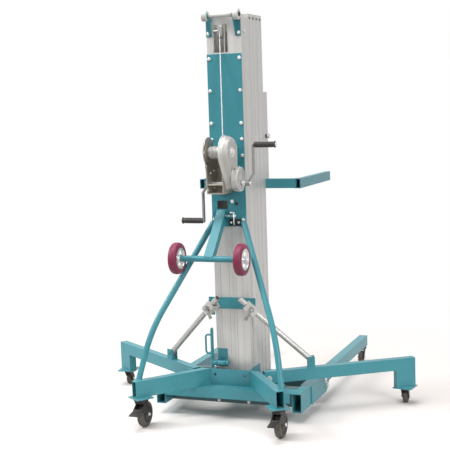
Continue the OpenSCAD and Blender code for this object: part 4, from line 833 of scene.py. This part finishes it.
def caster_trim(kind, side_name, centre, wheel_d, wheel_w):
    """Hub rings on both faces of a wheel, and the nuts of its axle."""
    half = wheel_w / 2
    outer = wheel_d / 2
    wheel = "%s_caster_wheel_%s" % (kind, side_name)
    mesh = bmesh.new()
    ring = ((0.0, 0.66), (1.6, 0.66), (2.6, 0.62), (2.0, 0.54), (1.2, 0.46), (1.8, 0.37), (0.0, 0.36))
    for face in (-1, 1):
        add_lathe(mesh, centre + X_AXIS * face * (half - 4.0), X_AXIS * face,
                  [(along, outer * share) for along, share in ring], 48, closed=True)
    piece(wheel + "_rim", mesh, DARK, wheel, (), 60.0)
    mesh = bmesh.new()
    for face in (-1, 1):
        start = centre + X_AXIS * face * (half + 6.0)
        washer_r = outer * 0.06 + 6.0
        add_lathe(mesh, start, X_AXIS * face, [(0, washer_r), (1.2, washer_r), (1.2, 5.5)], 28)
        add_hex(mesh, start + X_AXIS * face * 1.0, X_AXIS * face, outer * 0.05 + 5.0, 5.2, 1.0)
    fork = "%s_caster_fork_%s" % (kind, side_name)
    piece(fork + "_nuts", mesh, BRIGHT, fork)


ARM_TIP_X = ARM_PIVOT.x + ARM_REACH * math.cos(ARM_YAW)
ARM_TIP_Y = ARM_PIVOT.y + ARM_REACH * math.sin(ARM_YAW)
for name, sign in SIDES:
    caster_trim("rear", name, Vector((sign * 350.84, -367.876 + 36, 62.5)), 125, 32)
    caster_trim("arm", name, Vector((sign * ARM_TIP_X, ARM_TIP_Y + 18, 32.5)), 65, 24)
    caster_trim("leg", name, Vector((sign * 361, 1195 - 22, 37.5)), 75, 24)


# Weld beads

def weld_beads():
    """Beads on the base, where the forks meet their tube and round the lugs of the arms."""
    mesh = bmesh.new()
    stay_x, stay_y = STAY_POINTS[-1][:2]
    for sign in (-1, 1):
        foot = [Vector((sign * stay_x + 15.6 * math.cos(a), stay_y + 16.4 * math.sin(a), 239.4))
                for a in (math.tau * k / 60 for k in range(61))]
        add_bead(mesh, foot)
        along = Vector((-sign * math.cos(LEG_SPLAY), math.sin(LEG_SPLAY), 0))
        over = Vector((math.sin(LEG_SPLAY), sign * math.cos(LEG_SPLAY), 0))
        end = Vector((sign * 372, -397, 157.4))
        for edge in (-20.6, 20.6):
            add_bead(mesh, [end + along * 4 + over * edge, end + along * 78 + over * edge])
        for x in (sign * 105.6, sign * 157.4):
            add_bead(mesh, [(x, -66.0, 158), (x, -66.0, 237)])
    piece("base_welds", mesh, TEAL, "base", (), 70.0)

    mesh = bmesh.new()
    for sign in (-1, 1):
        x = sign * 251.0
        add_bead(mesh, [(x, 354.4, 1119), (x, 354.4, 1165)])
        add_bead(mesh, [(x, 306, 1166.4), (x, 353, 1166.4)], 2.2)
        add_bead(mesh, [(x, 306, 1117.6), (x, 353, 1117.6)], 2.2)
    piece("fork_welds", mesh, TEAL, "carriage", (), 70.0)

    for name, sign in SIDES:
        mesh = bmesh.new()
        lug = Vector((sign * 378.92, 83.42, 240.3))
        along = Vector((sign * math.cos(ARM_PIN_TURN), math.sin(ARM_PIN_TURN), 0))
        over = Vector((-sign * math.sin(ARM_PIN_TURN), math.cos(ARM_PIN_TURN), 0))
        for edge in (-20.0, 20.0):
            add_bead(mesh, [lug + over * edge - along * 14, lug + over * edge + along * 14], 2.2)
        piece("arm_%s_welds" % name, mesh, TEAL, "arm_" + name, (), 70.0)


weld_beads()


# Stays

STAY_R = 14.6
STAY_EASE = 120


def bent_stays():
    """Two tubes with an easy bend, flattened under their tabs on the panel."""
    mesh = bmesh.new()
    for sign in (-1, 1):
        top, bend, foot = (Vector((sign * x, y, z)) for x, y, z in STAY_POINTS)
        first = bend + (top - bend).normalized() * STAY_EASE
        last = bend + (foot - bend).normalized() * STAY_EASE
        curve = [first * (1 - t) ** 2 + bend * 2 * t * (1 - t) + last * t * t for t in (k / 20 for k in range(21))]
        path = even_path([top] + curve + [foot], 12.0)
        rings = [circle(point, across, over, STAY_R, 28) for point, across, over, run in carried(path)]
        add_rings(mesh, [[Vector((v.x, min(v.y, PANEL_FACE - 0.2), v.z)) for v in ring] for ring in rings])
        low, high = sorted((sign * 64, sign * 90.4))
        add_block(mesh, (low, -12, 948), (high, PANEL_FACE - 0.1, 1004), 1.5)
    piece("stay_tubes", mesh, TEAL, "base", ["stays"], 40.0)


bent_stays()


# Small fittings

def stop_screws():
    """Stop screws at the heads of the moving mast sections."""
    for index, body in enumerate(("mast_2", "mast_3", "mast_4", "mast_5")):
        mesh = bmesh.new()
        y = 101 + 50.5 * index + 24.75
        for sign in (-1, 1):
            add_button(mesh, (sign * 88.4, y, 1980), X_AXIS * sign, 6.2, 6.6, 0.5)
        piece(body + "_stop_screws", mesh, DARK, body)


def head_roller():
    """The roller at the mast's head, its axle and the bolts of its ears."""
    mesh = bmesh.new()
    for sign in (-1, 1):
        add_lathe(mesh, (sign * 80, PANEL_FACE, 1904), -Y_AXIS, [(0, 8.8), (1.2, 8.8), (1.4, 8.0)], 28)
        add_button(mesh, (sign * 80, PANEL_FACE - 1.0, 1904), -Y_AXIS, 7.2, 5.4)
    piece("ear_bolts", mesh, BRIGHT, "base")

    mesh = bmesh.new()
    roller = Vector((0, -34, 1989))
    add_lathe(mesh, roller, X_AXIS,
              [(-61.4, 5.0), (-61.4, 11.0), (-60.0, 12.2), (60.0, 12.2), (61.4, 11.0), (61.4, 5.0)], 40, closed=True)
    for sign in (-1, 1):
        add_lathe(mesh, roller + X_AXIS * sign * 68.5, X_AXIS * sign,
                  [(0.0, 5.0), (0.0, 23.6), (0.8, 25.6), (2.6, 26.8), (4.6, 27.2), (22.4, 27.2), (24.4, 26.8),
                   (26.2, 25.6), (27.0, 23.6), (27.0, 14.0), (26.0, 13.4), (26.0, 5.0)], 56, closed=True)
    piece("roller_moulding", mesh, WHITE, "top_roller", ["top_roller"], 50.0)
    mesh = bmesh.new()
    add_lathe(mesh, roller, X_AXIS, [(-95.2, 5.2), (95.2, 5.2)], 24)
    for sign in (-1, 1):
        add_lathe(mesh, roller + X_AXIS * sign * 94.4, X_AXIS * sign, [(0, 12.0), (1.4, 12.0), (1.6, 9.0)], 32)
        add_hex(mesh, roller + X_AXIS * sign * 95.8, X_AXIS * sign, 8.0, 4.8, 1.0)
    piece("roller_axle", mesh, DARK, "top_roller")


def strut_lock():
    """The handle of the pull pin that locks the strut, and the catch above it."""
    mesh = bmesh.new()
    add_lathe(mesh, (41.6, -33, 1009), X_AXIS, [(0, 5.6), (1.4, 6.0), (4.2, 6.0), (5.4, 4.8), (5.6, 0)], 28)
    add_lathe(mesh, (38.4, -42.6, 964), Z_AXIS, [(0, 0), (0.6, 2.2), (1.8, 2.6), (60.0, 2.6), (61.0, 1.8)], 16)
    add_lathe(mesh, (18, -42.6, 1026), X_AXIS,
              [(0, 0), (0.8, 3.4), (2.4, 4.2), (22.6, 4.2), (24.2, 3.4), (25.0, 0)], 20)
    piece("pull_handle", mesh, BRIGHT, "strut_pin", (), 60.0)
    mesh = bmesh.new()
    add_lathe(mesh, (42, PANEL_FACE, 1066), -Y_AXIS,
              [(0, 8.0), (2.6, 8.0), (3.4, 7.0), (3.4, 4.4), (2.4, 4.0), (2.4, 0)], 32)
    piece("latch_catch", mesh, DARK, "base")


def knob_collar():
    """The collar behind the carriage's lock knob."""
    mesh = bmesh.new()
    add_lathe(mesh, (90.4, 328.5, 1388), X_AXIS, [(0, 5.2), (0, 10.4), (3.4, 10.4), (5.4, 8.6), (5.4, 5.2)], 32,
              closed=True)
    piece("carriage_knob_collar", mesh, DARK, "carriage")


def lock_bracket():
    """The bracket that guides the pull pin, and its bolts."""
    mesh = bmesh.new()
    add_block(mesh, (1, -11.2, 957), (63, -5.0, 991), 1.2)
    piece("lock_bracket", mesh, DARK, "base")
    mesh = bmesh.new()
    for x in (12, 52):
        add_button(mesh, (x, -11.0, 974), -Y_AXIS, 6.4, 4.6)
    piece("lock_bracket_bolts", mesh, BRIGHT, "base")


def hold_down():
    """The hold-down lever: its hinge tube, flat bar and rounded loop handle."""
    hinge = Vector((0, -30, 262))
    mesh = bmesh.new()
    for low, high in ((-101, -84.5), (-77.5, -40.5), (-33.5, -18)):
        width = high - low
        add_lathe(mesh, hinge + X_AXIS * low, X_AXIS,
                  [(0, 9.8), (0, 13.2), (0.8, 14.0), (width - 0.8, 14.0), (width, 13.2), (width, 9.8)], 40, closed=True)
    add_lathe(mesh, hinge - X_AXIS * 101, X_AXIS, [(0, 10.0), (83, 10.0)], 32)
    outline = [(-13, 236), (13, 236), (13, 428)]
    outline += [(13 * math.cos(a), 428 + 13 * math.sin(a)) for a in (math.pi * k / 12 for k in range(1, 12))]
    outline.append((-13, 428))
    middle = 332
    rings = []
    for x, share in ((-109, 0.93), (-108, 1.0), (-102, 1.0), (-101, 0.93)):
        long_share = 1 - (1 - share) * 0.1
        rings.append([Vector((x, hinge.y + y * share, middle + (z - middle) * long_share)) for y, z in outline])
    add_rings(mesh, rings)
    corner = [k * math.pi / 16 for k in range(9)]
    loop = [(-106, 309)] + [(-126 - 13 * math.sin(a), 322 - 13 * math.cos(a)) for a in corner]
    loop += [(-126 - 13 * math.cos(a), 391 + 13 * math.sin(a)) for a in corner] + [(-106, 404)]
    add_tube(mesh, even_path([(x, hinge.y, z) for x, z in loop], 2.5), 5.0, 16)
    piece("hold_down_handle", mesh, TEAL, "hold_down_lever", ["hold_down_lever"], 50.0)


stop_screws()
head_roller()
strut_lock()
knob_collar()
lock_bracket()
hold_down()


# Floor, world and lamps

def seen_by_eye(tree):
    """One for rays that the eye, a mirror or a glass sends, and zero for the rest."""
    path = tree.put("ShaderNodeLightPath").outputs
    both = tree.apply("MAXIMUM", path["Is Camera Ray"], path["Is Glossy Ray"])
    return tree.apply("MAXIMUM", both, path["Is Transmission Ray"])


def lay_floor():
    """A matte floor that fades to white light away from the hoist."""
    material = bpy.data.materials.new("studio_floor")
    material.use_nodes = True
    tree = Tree(material.node_tree)
    material.node_tree.nodes.remove(material.node_tree.nodes["Principled BSDF"])
    matte = tree.put("ShaderNodeBsdfDiffuse")
    speck = tree.noise(tree.place(), 3.0, 2.0)
    tree.feed(matte.inputs["Color"], tree.mix(speck, rgb(0.88, 0.825, 0.80), rgb(0.91, 0.855, 0.83)))
    glow = tree.put("ShaderNodeEmission")
    tree.feed(glow.inputs["Strength"], seen_by_eye(tree))
    reach = tree.put("ShaderNodeVectorMath", operation="LENGTH")
    tree.feed(reach.inputs[0], tree.place())
    far = tree.put("ShaderNodeMapRange", interpolation_type="SMOOTHSTEP")
    for socket, value in zip(far.inputs, (reach.outputs["Value"], 0.95, 2.1, 0.0, 1.0)):
        tree.feed(socket, value)
    blend = tree.put("ShaderNodeMixShader")
    tree.feed(blend.inputs[0], far.outputs[0])
    tree.feed(blend.inputs[1], matte.outputs[0])
    tree.feed(blend.inputs[2], glow.outputs[0])
    tree.feed(material.node_tree.nodes["Material Output"].inputs["Surface"], blend.outputs[0])
    mesh = bmesh.new()
    bmesh.ops.create_grid(mesh, x_segments=24, y_segments=24, size=30)
    data = bpy.data.meshes.new("studio_floor")
    mesh.to_mesh(data)
    mesh.free()
    data.materials.append(material)
    floor = bpy.data.objects.new("studio_floor", data)
    floor.location.z = -0.0005
    bpy.context.scene.collection.objects.link(floor)


LAMPS = (("overhead", (-1.1, -2.2, 9.0), 6.4, 640.0), ("left_key", (-4.6, -2.5, 4.2), 1.8, 185.0),
         ("right_fill", (4.8, -3.5, 2.6), 2.4, 150.0))
LAMP_TARGET = Vector((0, 0, 0.8))


def light_studio():
    """A white world that lights the hoist dimly, and three area lamps."""
    world = bpy.data.worlds.new("studio")
    bpy.context.scene.world = world
    world.use_nodes = True
    tree = Tree(world.node_tree)
    back = world.node_tree.nodes["Background"]
    back.inputs["Color"].default_value = rgb(1.0, 1.0, 1.0)
    tree.feed(back.inputs["Strength"], tree.between(seen_by_eye(tree), 0.0, 1.0, 0.36, 1.0))
    for name, place, size, power in LAMPS:
        lamp = bpy.data.lights.new(name, "AREA")
        lamp.size = size
        lamp.energy = power
        holder = bpy.data.objects.new(name, lamp)
        holder.location = place
        holder.rotation_euler = (LAMP_TARGET - Vector(place)).to_track_quat("-Z", "Y").to_euler()
        bpy.context.scene.collection.objects.link(holder)


lay_floor()
light_studio()
bpy.context.scene.view_settings.view_transform = "Standard"
